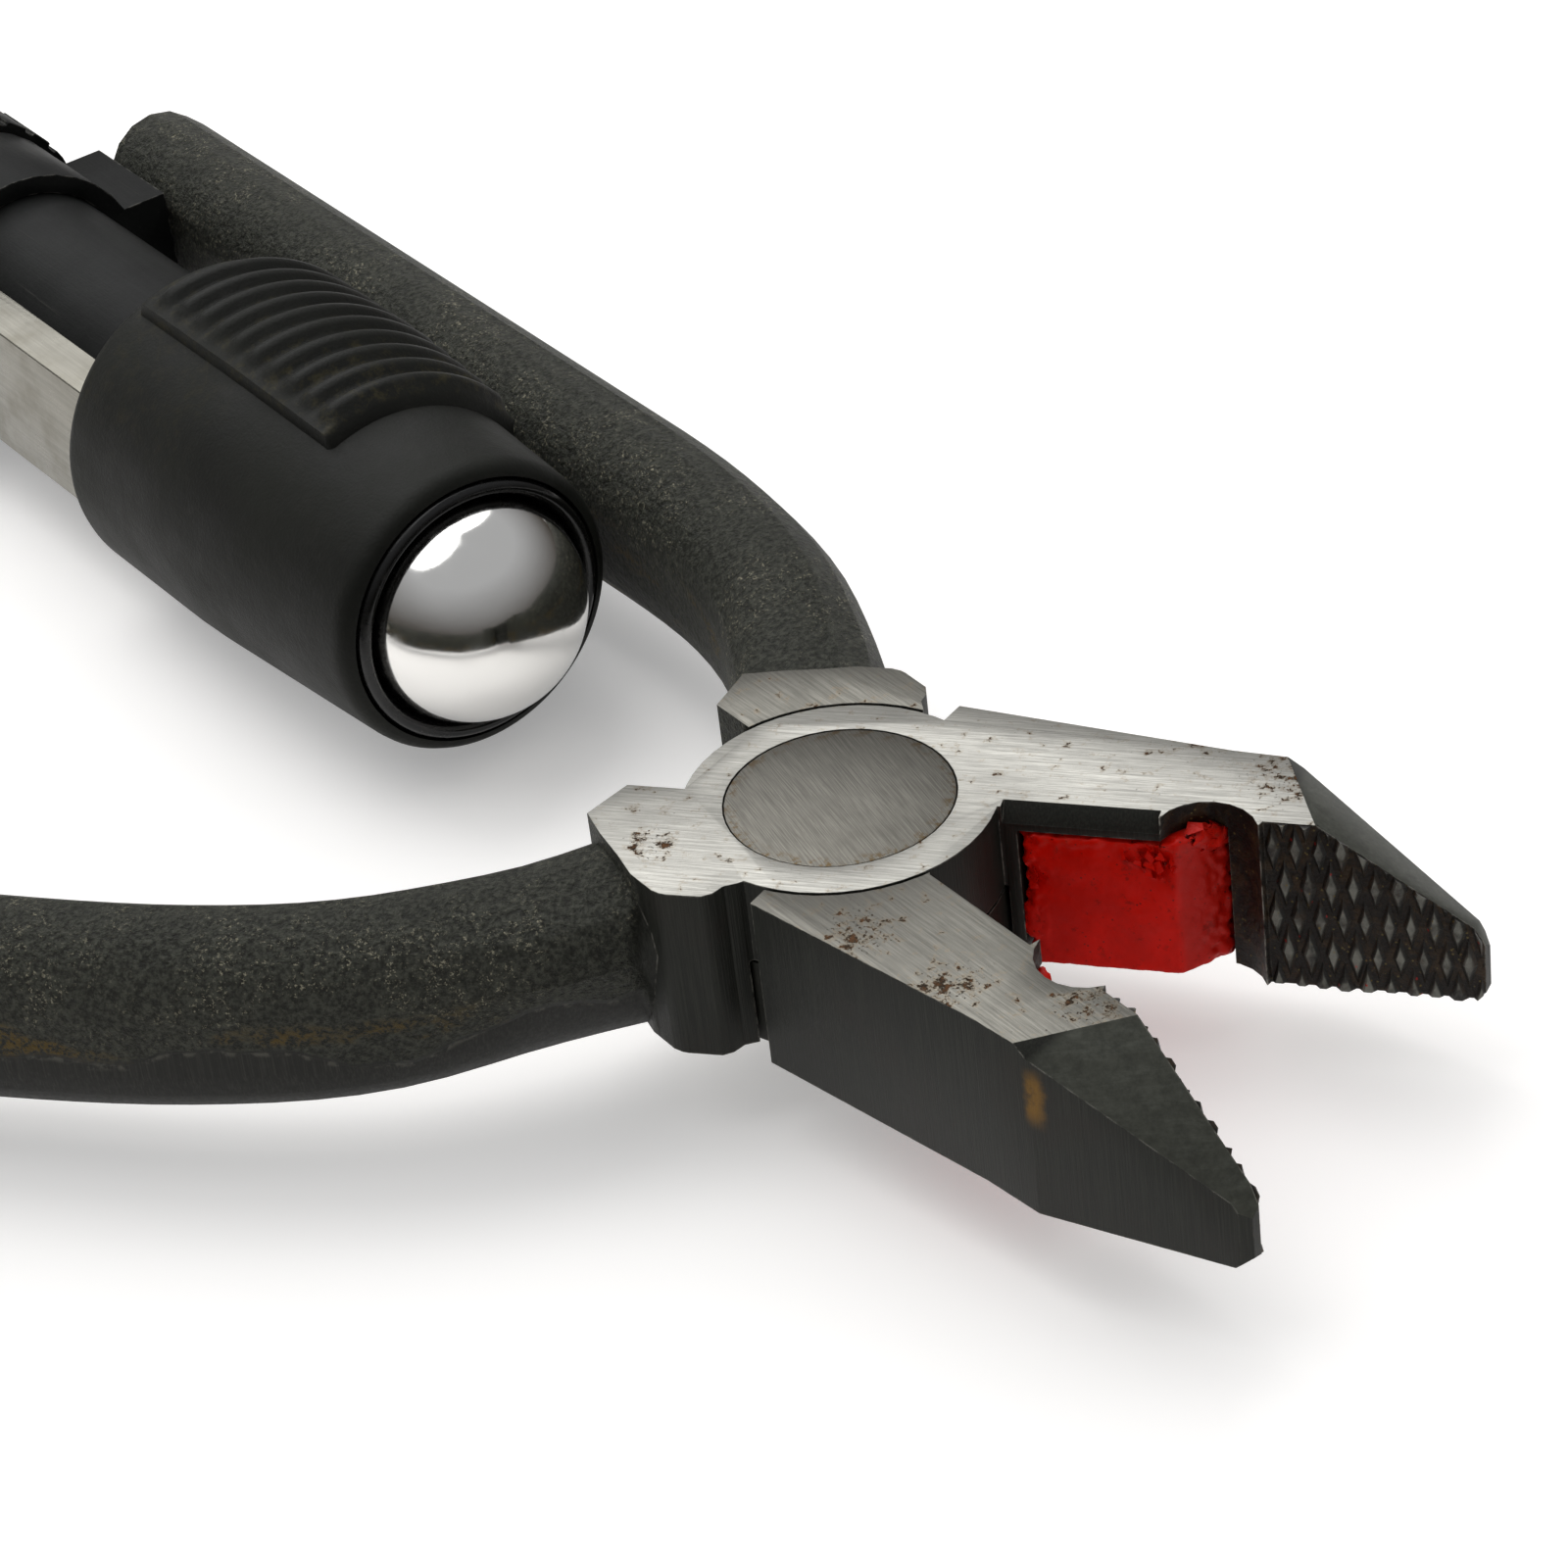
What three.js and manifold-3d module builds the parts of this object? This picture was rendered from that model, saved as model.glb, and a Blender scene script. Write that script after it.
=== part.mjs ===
// Reversible safety-wire twisting pliers, nominal six-inch size.
// Two lap-jointed halves turn on a flush pivot rivet. The fixed half carries a
// twister barrel on its closing line: a spiral rod with a pull knob runs through
// a slotted drive nut, and a sliding sleeve locks the handles shut.
// Millimetres. X runs along the twist axis towards the jaw tips, Z up, and the
// origin is the centre of the rivet's top face. The swing half is shown open.
import * as THREE from "three";
import { mergeVertices } from "three/addons/utils/BufferGeometryUtils.js";
import Module from "manifold-3d";

const wasm = await Module();
wasm.setup();

// ---------------------------------------------------------------- dimensions
const HEAD_T = 11.8; // thickness of jaws and neck
const MID_Z = -HEAD_T / 2; // lap plane, and the height of the barrel's axis
const LAP_GAP = 0.1; // half of the gap between the two bosses
const OPEN_DEG = 38.7; // angle between the jaws as stored

const BOSS_R = 9.6;
const BOSS_CLEAR = 0.25; // radial room around the other half's boss
const RIVET_HEAD_R = 7.0;
const RIVET_HEAD_T = 1.6;
const RIVET_SHANK_R = 4.0;
const RIVET_FOOT_R = 6.0;
const RUNNING = 0.05; // radial running clearance

const JAW_TIP = 38.4; // pivot to tip
const BLADE_V = 0.15; // blade edge to closing line
const GRIP_V = 0.55; // grip face to closing line
const NOTCH_U = [19.3, 25.2]; // start and end of the notch between blade and grip
const NOTCH_DEPTH = 2.0;
const NOSE_START_U = 28.6; // where the top face breaks into the nose slope
const NOSE_SLOPE_DEG = 38.4;
const NOSE_SKEW_DEG = 23;
const BLADE_T = 1.7; // thickness of the blade above the pad
const PAD_U = [10.9, 22.7];
const PAD_DEPTH = 4.5;
const FIT_GAP = 0.25; // gap around a seated soft or pressed piece

const HANDLE_W = 8.8;
const HANDLE_H = 12.4;
const HANDLE_DROP = 1.0; // handle's centre line below the lap plane
const HANDLE_Y = 16.5; // handle's centre line to the closing line
const HANDLE_END = -114;

const TUBE_R = 7.7;
const BORE_R = 6.4;
const TUBE_FRONT = -43.4;
const TUBE_REAR = -118;
const DOME_R = 8.05;
const RAIL_Y = -8.9; // outer face of the rail
const RAIL_H = 10.8;
const RAIL_SHEET = 1.2;
const RAIL_X = [-111, -68.5];
const SLEEVE_X = [-76.3, -41.1];
const SLEEVE_R = 10.4;
const FLARE_R = 11.7;
const FLARE_X = -62; // the sleeve widens from its front to here
const LIP_BORE_R = 8.25; // clears the dome, which stops the sleeve
const SLEEVE_TRAVEL = 8;
const COLLAR_X = [-112, -102];
const COLLAR_R = 9.2;
const SADDLE_Y = -10.4; // outer face of the collar's saddle round the rail
const SCREW_X = [-109.6, -104.4];
const NUT_X = [-117, -109];
const SELECTOR_X = [-117.6, -112.6];
const SELECTOR_R = 9.9;
const DETENT_Z = -8.9; // height of the detent from the barrel's axis
const DETENT_R = 0.8;
const DETENT_STEP = -60; // degrees between the selector's two dimples

const ROD_W = 6.4;
const ROD_T = 2.4;
const ROD_PITCH = 30; // pull for one turn
const ROD_X = [-135, -51.5];
const ROD_TRAVEL = 40;
const NUT_PLAY = 0.22; // between the rod and the nut's slot
const FOLLOWER_X = [-50.2, -47.2];
const SPRING_R = 5.0;
const SPRING_WIRE = 0.9;
const SPRING_TURNS = 15;
const KNOB_X = [-141, -120.5];
const KNOB_R = 11.4;
const HUB_X = [-136.4, -121];
const HUB_R = 4.6;
const HUB_BORE_R = 3.0;
const PIN_X = -127;

const SIDES = 32; // facets of a turned piece on the barrel

// ---------------------------------------------------------------- materials
function finish(color, roughness, metalness) {
  return new THREE.MeshStandardMaterial({ color, roughness, metalness });
}

const forged = finish(0x2c2d2b, 0.6, 0.7);
const ground = finish(0x9a958c, 0.4, 1.0);
const rubber = finish(0xb51a12, 0.55, 0.0);
const plated = finish(0xc8c6bc, 0.3, 1.0);
const mirror = finish(0xe4e4e2, 0.08, 1.0);
const blued = finish(0x2f3230, 0.45, 0.8);
const moulded = finish(0x232422, 0.7, 0.0);
const gloss = finish(0x0e0e0e, 0.25, 0.0);
const spring = finish(0x8b8b88, 0.35, 1.0);
const bronze = finish(0xa07a3c, 0.4, 1.0);

// ---------------------------------------------------------------- solid tools
// A closed geometry as a manifold, with its faces pointing out.
function solid(geometry) {
  const bare = new THREE.BufferGeometry();
  const flat = geometry.index ? geometry.toNonIndexed() : geometry;
  bare.setAttribute("position", flat.getAttribute("position"));
  const merged = mergeVertices(bare, 1e-4);
  const index = merged.index.array;
  const kept = [];
  for (let i = 0; i < index.length; i += 3) {
    const [a, b, c] = [index[i], index[i + 1], index[i + 2]];
    if (a !== b && b !== c && a !== c) kept.push(a, b, c);
  }
  const build = (tri) => {
    const vertProperties = merged.attributes.position.array;
    return new wasm.Manifold(new wasm.Mesh({ numProp: 3, vertProperties, triVerts: new Uint32Array(tri) }));
  };
  const made = build(kept);
  if (made.volume() >= 0) return made;
  const turned = [];
  for (let i = 0; i < kept.length; i += 3) turned.push(kept[i], kept[i + 2], kept[i + 1]);
  return build(turned);
}

const join = (...solids) => solids.reduce((all, one) => all.add(one));
const cut = (body, ...tools) => tools.reduce((left, tool) => left.subtract(tool), body);

// The manifold as a named mesh.
function piece(name, body, material) {
  const mesh = body.getMesh();
  const geometry = new THREE.BufferGeometry();
  geometry.setAttribute("position", new THREE.BufferAttribute(mesh.vertProperties, 3));
  geometry.setIndex(new THREE.BufferAttribute(mesh.triVerts, 1));
  geometry.computeVertexNormals();
  const made = new THREE.Mesh(geometry, material);
  made.name = name;
  return made;
}

// A plan outline raised from low to high.
function plate(points, low, high) {
  const shape = new THREE.Shape(points.map(([x, y]) => new THREE.Vector2(x, y)));
  const geometry = new THREE.ExtrudeGeometry(shape, { depth: high - low, bevelEnabled: false });
  return solid(geometry.translate(0, 0, low));
}

// A block between two corners.
function block([x0, y0, z0], [x1, y1, z1]) {
  const geometry = new THREE.BoxGeometry(Math.abs(x1 - x0), Math.abs(y1 - y0), Math.abs(z1 - z0));
  return solid(geometry.translate((x0 + x1) / 2, (y0 + y1) / 2, (z0 + z1) / 2));
}

// A round bar along Z.
function postZ(radius, low, high, x = 0, y = 0, sides = 48) {
  const geometry = new THREE.CylinderGeometry(radius, radius, high - low, sides);
  return solid(geometry.rotateX(Math.PI / 2).translate(x, y, (low + high) / 2));
}

// A round bar along Y, whose radius may differ at its two ends.
function postY(radius, low, high, x, z, sides = 20, farRadius = radius) {
  const geometry = new THREE.CylinderGeometry(farRadius, radius, high - low, sides);
  return solid(geometry.translate(x, (low + high) / 2, z));
}

// A profile of [x, radius] points turned about the X axis.
function turned(profile, sides = SIDES) {
  const points = profile.map(([x, r]) => new THREE.Vector2(r, x));
  return solid(new THREE.LatheGeometry(points, sides).rotateZ(-Math.PI / 2));
}

// A bar or, with an inner radius, a ring about the X axis.
function ringX(low, high, outer, inner = 0, sides = SIDES) {
  const profile = [[low, inner], [low, outer], [high, outer], [high, inner]];
  if (inner > 0) profile.push([low, inner]);
  return turned(profile, sides);
}

// All that lies above a plane through point, whose normal leans by tilt from +Z towards the plan direction.
function above(point, tiltDeg, planDeg, size = 60) {
  const geometry = new THREE.BoxGeometry(size, size, size).translate(0, 0, size / 2);
  geometry.rotateY(THREE.MathUtils.degToRad(tiltDeg));
  geometry.rotateZ(THREE.MathUtils.degToRad(planDeg));
  return solid(geometry.translate(...point));
}

// A section carried along a curve in the XY plane. form changes its side and up at each step.
function swept(section, curve, steps, form) {
  const shape = new THREE.Shape(section.map(([x, y]) => new THREE.Vector2(x, y)));
  const geometry = new THREE.ExtrudeGeometry(shape, { depth: 1, steps, bevelEnabled: false });
  const place = geometry.attributes.position;
  for (let i = 0; i < place.count; i++) {
    const t = THREE.MathUtils.clamp(place.getZ(i), 0, 1);
    const at = curve.getPointAt(t);
    const along = curve.getTangentAt(t);
    const [side, up] = form(t, place.getX(i), place.getY(i));
    place.setXYZ(i, at.x - along.y * side, at.y + along.x * side, at.z + up);
  }
  return solid(geometry);
}

// A round wire wound about the X axis.
function coil(low, high, radius, wire, turns, stepsPerTurn = 9, sides = 4) {
  const round = [];
  for (let i = 0; i < sides; i++) {
    const a = (i / sides) * 2 * Math.PI;
    round.push(new THREE.Vector2((wire / 2) * Math.cos(a), (wire / 2) * Math.sin(a)));
  }
  const steps = Math.round(turns * stepsPerTurn);
  const shape = new THREE.Shape(round);
  const geometry = new THREE.ExtrudeGeometry(shape, { depth: 1, steps, bevelEnabled: false });
  const place = geometry.attributes.position;
  for (let i = 0; i < place.count; i++) {
    const t = place.getZ(i);
    const a = t * turns * 2 * Math.PI;
    const r = radius + place.getX(i);
    place.setXYZ(i, low + t * (high - low) + place.getY(i), r * Math.cos(a), r * Math.sin(a));
  }
  return solid(geometry);
}

// A rectangle with rounded corners, for sections.
function roundedSection(width, height, radius, perCorner = 3) {
  const points = [];
  const corners = [[1, 1, 0], [-1, 1, 90], [-1, -1, 180], [1, -1, 270]];
  for (const [sx, sy, start] of corners) {
    for (let i = 0; i <= perCorner; i++) {
      const a = THREE.MathUtils.degToRad(start + (90 * i) / perCorner);
      const x = sx * (width / 2 - radius) + radius * Math.cos(a);
      points.push([x, sy * (height / 2 - radius) + radius * Math.sin(a)]);
    }
  }
  return points;
}

// ---------------------------------------------------------------- pliers halves
// Plan outline of a jaw, from the pivot along its working edge to the tip and back along its outer face.
function jawOutline() {
  const [from, to] = NOTCH_U;
  const half = (to - from) / 2;
  const radius = (half * half + NOTCH_DEPTH * NOTCH_DEPTH) / (2 * NOTCH_DEPTH);
  const spread = Math.asin(half / radius);
  const notch = [];
  const steps = 8;
  for (let i = 0; i <= steps; i++) {
    const a = -spread + (2 * spread * i) / steps;
    notch.push([from + half + radius * Math.sin(a), NOTCH_DEPTH - radius + radius * Math.cos(a) + BLADE_V]);
  }
  const tip = [[JAW_TIP - 0.2, GRIP_V], [JAW_TIP, 1.2], [JAW_TIP - 0.4, 1.9]];
  const outer = [[26.6, 7.1], [22.3, 7.45], [16.3, 8.4], [4.9, 10.15]];
  return [[0, BLADE_V], ...notch, [to + 0.2, GRIP_V], ...tip, ...outer, [4.2, 8.2], [0, 6]];
}

// Plan outline of the neck between the boss and the handle.
function neckOutline() {
  const flange = [[-9.3, -10.0], [-8.7, -10.5], [-8.1, -10.75], [-7.7, -10.8]];
  const corner = [[-5.6, -10.75], [-5.0, -10.35], [-4.55, -9.6]];
  const inner = [[0, -0.35], [-13.2, -0.35], [-14.8, -3.5], [-13.4, -5.4], [-11.7, -7.4], [-10.4, -9.1]];
  return [...inner, ...flange, ...corner, [-3.8, -9.2], [0, -6]];
}

// The handle: a rounded bar that leaves the neck at a slant and then runs along the barrel.
function handle(hand) {
  const slant = [[-10.8, -4.6], [-18.2, -9.5], [-26.5, -13.9]];
  const grip = [[-37, -HANDLE_Y + 0.5], [-62, -HANDLE_Y + 0.1], [HANDLE_END, -HANDLE_Y]];
  const height = MID_Z - HANDLE_DROP;
  const points = [...slant, ...grip].map(([u, v]) => new THREE.Vector3(u, v * hand, height));
  const curve = new THREE.CatmullRomCurve3(points, false, "centripetal");
  const { smoothstep } = THREE.MathUtils;
  const form = (t, side, up) => {
    const neck = 0.07 * Math.exp(-Math.pow((t - 0.07) / 0.06, 2));
    const end = t > 0.97 ? 1 - 0.5 * Math.pow((t - 0.97) / 0.03, 2) : 1;
    const size = (1 - neck) * end;
    const deeper = smoothstep(t, 0.1, 0.45);
    const shoulder = 1.8 * Math.exp(-Math.pow((t - 0.055) / 0.085, 2));
    const outer = smoothstep(side * hand, -1, 3.5) * smoothstep(up, -3.5, 1);
    return [side * size + hand * shoulder * outer, up * size * (1 + deeper / HANDLE_H) - deeper / 2];
  };
  return swept(roundedSection(HANDLE_W, HANDLE_H, 4.3, 4), curve, 44, form);
}

// One half in its own frame: jaw along +X on the +Y side for hand 1, on the -Y side for hand -1.
// The boss fills the upper half of the head for the swing half and the lower half for the fixed one.
function plierHalf(hand, bossOnTop) {
  const mirrored = (outline) => outline.map(([u, v]) => [u, v * hand]);
  const [bossLow, bossHigh] = bossOnTop ? [MID_Z + LAP_GAP, 0] : [-HEAD_T, MID_Z - LAP_GAP];
  const [roomLow, roomHigh] = bossOnTop ? [-HEAD_T - 1, bossLow] : [bossHigh, 1];
  const body = join(
    plate(mirrored(jawOutline()), -HEAD_T, 0),
    plate(mirrored(neckOutline()), -HEAD_T, 0),
    handle(hand),
  );
  const bossRoom = postZ(BOSS_R + BOSS_CLEAR, roomLow, roomHigh);
  const padRoom = block(
    [PAD_U[0] - FIT_GAP, -hand, -BLADE_T - 12],
    [PAD_U[1] + FIT_GAP, hand * (PAD_DEPTH + FIT_GAP), -BLADE_T],
  );
  const noseTop = above([NOSE_START_U, 0.3 * hand, 0], NOSE_SLOPE_DEG, NOSE_SKEW_DEG * hand);
  const noseTip = above([JAW_TIP - 0.9, 0, -6.3], 62, 8 * hand);
  const noseFoot = above([JAW_TIP - 0.7, 0, -HEAD_T], 135, 0);
  const bladeBevel = solid(
    new THREE.BoxGeometry(NOTCH_U[0] - BOSS_R - 0.2, 6, 6)
      .translate(0, 0, 3)
      .rotateX(THREE.MathUtils.degToRad(58 * hand))
      .translate((NOTCH_U[0] + BOSS_R + 0.2) / 2, 0.9 * hand, 0),
  );
  const withBoss = join(cut(body, bossRoom), postZ(BOSS_R, bossLow, bossHigh));
  const bore = postZ(RIVET_SHANK_R + RUNNING, -HEAD_T - 1, 1);
  const seat = bossOnTop
    ? postZ(RIVET_HEAD_R + RUNNING, -RIVET_HEAD_T - RUNNING, 1)
    : postZ(RIVET_FOOT_R + RUNNING, -HEAD_T - 1, -HEAD_T + RIVET_HEAD_T + RUNNING);
  return cut(withBoss, padRoom, noseTop, noseTip, noseFoot, bladeBevel, bore, seat);
}

// The soft pad under the blade, which holds the cut-off end of the wire.
function jawPad(hand) {
  const [start, end] = PAD_U;
  const outline = [[start, BLADE_V], [end - 2.6, BLADE_V], [end, 2.6], [end, PAD_DEPTH], [start, PAD_DEPTH]];
  return plate(outline.map(([u, v]) => [u, v * hand]), -HEAD_T + 0.3, -BLADE_T - FIT_GAP);
}

// Screw holes through the fixed handle, countersunk from outside.
function anchorHoles() {
  const outer = HANDLE_Y + HANDLE_W / 2;
  return SCREW_X.map((x) =>
    join(
      postY(1.7, 5, outer + 1, x, MID_Z),
      postY(1.7, outer - 2, outer + 0.4, x, MID_Z, 20, 2.95),
    ),
  );
}

// Blind rivet holes in the inner face of the swing handle.
const CATCH_RIVET_X = [-95.2, -89.4];
const CATCH_FACE = -HANDLE_Y + HANDLE_W / 2;
const CATCH_TIP = -77.2;
const CATCH_Y = [-10.4, -9.2]; // the finger's two faces with the jaws shut

function catchHoles() {
  return CATCH_RIVET_X.map((x) => postY(1.3, CATCH_FACE - 5, CATCH_FACE + 1, x, MID_Z));
}

function fixedHalf() {
  return cut(plierHalf(-1, false), ...anchorHoles());
}

function swingHalf() {
  return cut(plierHalf(1, true), ...catchHoles());
}

function pivotRivet() {
  const shankFoot = -HEAD_T + RIVET_HEAD_T + 0.2;
  return join(postZ(RIVET_HEAD_R, -RIVET_HEAD_T, 0), postZ(RIVET_SHANK_R, shankFoot, -1));
}

function rivetFoot() {
  return postZ(RIVET_FOOT_R, -HEAD_T + 0.05, -HEAD_T + RIVET_HEAD_T);
}

// ---------------------------------------------------------------- handle catch
// A joggled strip on the swing handle whose finger the sleeve slides over. Seen with the jaws shut.
function catchHook() {
  const base = block([-97.4, CATCH_FACE + 0.1, -2.4], [-85, CATCH_FACE + 1.35, 2.4]);
  const joggle = block([-86.4, CATCH_FACE + 0.1, -2], [-85, CATCH_Y[1], 2]);
  const finger = block([-86.4, CATCH_Y[0], -2], [CATCH_TIP, CATCH_Y[1], 2]);
  const nose = above([CATCH_TIP - 0.6, CATCH_Y[1], 0], 90, 45, 8);
  const holes = CATCH_RIVET_X.map((x) => postY(1.3, CATCH_FACE - 1, CATCH_FACE + 1.6, x, 0, 20, 2.3));
  return cut(join(base, joggle, finger), nose, ...holes);
}

function catchRivet(x) {
  const head = postY(1.2, CATCH_FACE + 0.2, CATCH_FACE + 1.3, x, 0, 20, 1.9);
  return join(postY(1.2, CATCH_FACE - 4.6, CATCH_FACE + 0.5, x, 0), head);
}

// ---------------------------------------------------------------- barrel
function barrelTube() {
  const keyway = block([FOLLOWER_X[0] - ROD_TRAVEL - 1, -1.1, -7.1], [TUBE_FRONT + 1, 1.1, -4]);
  const ring = ringX(TUBE_REAR, TUBE_FRONT, TUBE_R, BORE_R);
  return cut(ring, keyway);
}

function frontDome() {
  const base = TUBE_FRONT + 0.1;
  const profile = [[base - 1.7, 0], [base - 1.7, BORE_R - 0.5], [base, BORE_R - 0.5], [base, DOME_R]];
  const steps = 9;
  for (let i = 1; i <= steps; i++) {
    const a = (i / steps) * (Math.PI / 2);
    profile.push([base + 0.8 + DOME_R * Math.sin(a), i === steps ? 0 : DOME_R * Math.cos(a)]);
  }
  return turned(profile);
}

// Bright channel along the barrel's swing side. It keys the sleeve and backs the catch.
function guideRail() {
  const [low, high] = RAIL_X;
  const flat = RAIL_H / 2;
  const outer = block([low, RAIL_Y, -flat], [high, -3, flat]);
  const hollow = block([low - 1, RAIL_Y + RAIL_SHEET, -flat + RAIL_SHEET], [high + 1, 0, flat - RAIL_SHEET]);
  return cut(outer, hollow, ringX(low - 1, high + 1, TUBE_R + 0.15));
}

// Ring and ear that hold the barrel and the rail to the fixed handle.
function anchorCollar() {
  const [low, high] = COLLAR_X;
  const ear = block([low, 5, -3.6], [high, HANDLE_Y - HANDLE_W / 2 - 0.2, 3.6]);
  const railRoom = block([low - 1, RAIL_Y - 0.15, -RAIL_H / 2 - 0.15], [high + 1, 0, RAIL_H / 2 + 0.15]);
  const saddle = block([low, SADDLE_Y, -7], [high, -4, 7]);
  const lug = block([low, -2, DETENT_Z - 1.7], [high, 2, -6]);
  const holes = SCREW_X.map((x) => postY(1.7, 7.6, 14, x, 0));
  const bore = ringX(low - 1, high + 1, TUBE_R + 0.1);
  return cut(join(ringX(low, high, COLLAR_R), ear, saddle, lug), bore, railRoom, ...holes, detentHole());
}

// Pocket in the collar's rear face, below the tube, for the selector's detent.
function detentHole() {
  return ringX(COLLAR_X[0] - 1, COLLAR_X[0] + 5, DETENT_R + 0.1, 0, 16).translate(0, 0, DETENT_Z);
}

function detentSpring() {
  return coil(COLLAR_X[0] + 1.7, COLLAR_X[0] + 4.6, 0.6, 0.3, 4, 7, 4).translate(0, 0, DETENT_Z);
}

function detentBall() {
  const ball = new THREE.SphereGeometry(DETENT_R, 10, 8);
  return solid(ball.translate(COLLAR_X[0] + 0.45, 0, DETENT_Z));
}

function anchorScrew(x) {
  const outer = HANDLE_Y + HANDLE_W / 2;
  const slot = block([x - 3, outer - 0.9, -0.35], [x + 3, outer + 1, 0.35]);
  const head = postY(1.6, outer - 1.9, outer - 0.15, x, 0, 20, 2.4);
  return cut(join(postY(1.6, 8.0, outer - 1, x, 0), head), slot);
}

// Bronze nut whose slot follows the rod's helix.
function driveNut() {
  const [low, high] = NUT_X;
  return cut(ringX(low, high, BORE_R - 0.1), twistedBar(low - 1, high + 1, NUT_PLAY));
}

function thrustWasher() {
  return ringX(NUT_X[1] + 0.2, NUT_X[1] + 1.0, BORE_R - 0.15, 3.9);
}

function nutRing() {
  return ringX(TUBE_REAR + 0.1, NUT_X[0] - 0.1, BORE_R - 0.1, 4.2);
}

// ---------------------------------------------------------------- selector
// Ring behind the collar that sets the direction of twist, with a thumb nub and two detent dimples.
function selectorRing() {
  const [low, high] = SELECTOR_X;
  const ring = ringX(low, high, SELECTOR_R, TUBE_R + 0.15);
  const nub = block([low, -1.8, SELECTOR_R - 1.4], [high, 1.8, SELECTOR_R + 1.5]);
  const dimples = [0, DETENT_STEP].map((deg) => {
    const ball = new THREE.SphereGeometry(DETENT_R + 0.1, 14, 10).translate(COLLAR_X[0] + 0.45, 0, DETENT_Z);
    return solid(ball.rotateX(THREE.MathUtils.degToRad(deg)));
  });
  // Grip slots all round, apart from the nub's three places.
  const slots = [];
  const places = 24;
  for (let i = 2; i < places - 1; i++) {
    const slot = new THREE.BoxGeometry(high - low + 2, 0.8, 1.0);
    slot.translate((low + high) / 2, 0, SELECTOR_R + 0.2);
    slots.push(solid(slot.rotateX((i / places) * 2 * Math.PI)));
  }
  return cut(join(ring, nub), ...dimples, ...slots);
}

// ---------------------------------------------------------------- lock sleeve
const PANEL_X = [-74.6, -50];
const PANEL_ARC = [-22, 62]; // degrees from +Z, towards +Y
const RIB_COUNT = 10;
const PANEL_PROUD = 0.9; // panel's floor above the sleeve
const RIB_PROUD = 1.6; // rib tops above the sleeve

// A wedge of the space around X between two angles from +Z towards +Y.
function wedge(low, high, fromDeg, toDeg, radius) {
  const shape = new THREE.Shape();
  shape.moveTo(0, 0);
  const steps = 6;
  for (let i = 0; i <= steps; i++) {
    const a = THREE.MathUtils.degToRad(fromDeg + ((toDeg - fromDeg) * i) / steps);
    shape.lineTo(radius * Math.sin(a), radius * Math.cos(a));
  }
  const geometry = new THREE.ExtrudeGeometry(shape, { depth: high - low, bevelEnabled: false });
  // The drawing's axes, right, up and out, become Y, Z and X.
  const turn = new THREE.Matrix4().makeBasis(
    new THREE.Vector3(0, 1, 0),
    new THREE.Vector3(0, 0, 1),
    new THREE.Vector3(1, 0, 0),
  );
  return solid(geometry.applyMatrix4(turn).translate(low, 0, 0));
}

// The sleeve's outer radius, which grows steadily from its mouth to FLARE_X.
function sleeveRadius(x) {
  const share = THREE.MathUtils.clamp((SLEEVE_X[1] - x) / (SLEEVE_X[1] - FLARE_X), 0, 1);
  return SLEEVE_R + (FLARE_R - SLEEVE_R) * share;
}

// The ribbed thumb panel stands on the sleeve's upper side.
function thumbPanel() {
  const [low, high] = PANEL_X;
  const pitch = (high - low - 1.6) / RIB_COUNT;
  const point = (x, proud) => [x, sleeveRadius(x) + proud];
  const profile = [[low, TUBE_R + 1], point(low, PANEL_PROUD)];
  for (let i = 0; i < RIB_COUNT; i++) {
    const x = low + 1.0 + pitch * i;
    profile.push(point(x, PANEL_PROUD), point(x + 0.3 * pitch, RIB_PROUD));
    profile.push(point(x + 0.6 * pitch, RIB_PROUD), point(x + 0.9 * pitch, PANEL_PROUD));
  }
  profile.push(point(high - 0.4, PANEL_PROUD), point(high, 0.05), [high, TUBE_R + 1], [low, TUBE_R + 1]);
  return turned(profile).intersect(wedge(low - 1, high + 1, ...PANEL_ARC, 16));
}

function lockSleeve() {
  const [rear, front] = SLEEVE_X;
  const outside = turned([
    [rear, 0], [rear, FLARE_R - 0.8], [rear + 0.8, FLARE_R], [FLARE_X, FLARE_R],
    [front - 1.2, sleeveRadius(front - 1.2)], [front, SLEEVE_R - 0.9], [front, 0],
  ]);
  const lipRoom = ringX(front - 2.5, front + 1, 9.5);
  const bore = ringX(rear - 1, front + 1, TUBE_R + 0.1);
  const groove = ringX(-52.1, -50.1, TUBE_R + 1.15);
  const reach = RAIL_H / 2 + 0.2;
  const railRoom = block([rear - 1, RAIL_Y - 0.2, -reach], [RAIL_X[1] + SLEEVE_TRAVEL + 0.5, 0, reach]);
  const fingerEnd = CATCH_TIP + SLEEVE_TRAVEL + 0.7;
  const fingerRoom = block([rear - 1, CATCH_Y[0] - 0.6, -2.4], [fingerEnd, RAIL_Y, 2.4]);
  return cut(join(outside, thumbPanel()), lipRoom, bore, groove, railRoom, fingerRoom);
}

// Glossy ring pressed into the sleeve's mouth.
function sleeveLip() {
  const front = SLEEVE_X[1];
  return turned([
    [front - 2.2, LIP_BORE_R], [front - 2.2, 9.3], [front + 0.3, 9.3], [front + 0.8, 9.0],
    [front + 0.8, 8.6], [front + 0.1, LIP_BORE_R], [front - 2.2, LIP_BORE_R],
  ]);
}

// Friction ring that holds the sleeve wherever it is slid.
function frictionRing() {
  const profile = [];
  for (let i = 0; i <= 6; i++) {
    const a = (i / 6) * 2 * Math.PI;
    profile.push([-51.1 + 0.48 * Math.cos(a), TUBE_R + 0.58 + 0.48 * Math.sin(a)]);
  }
  return turned(profile);
}

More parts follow.
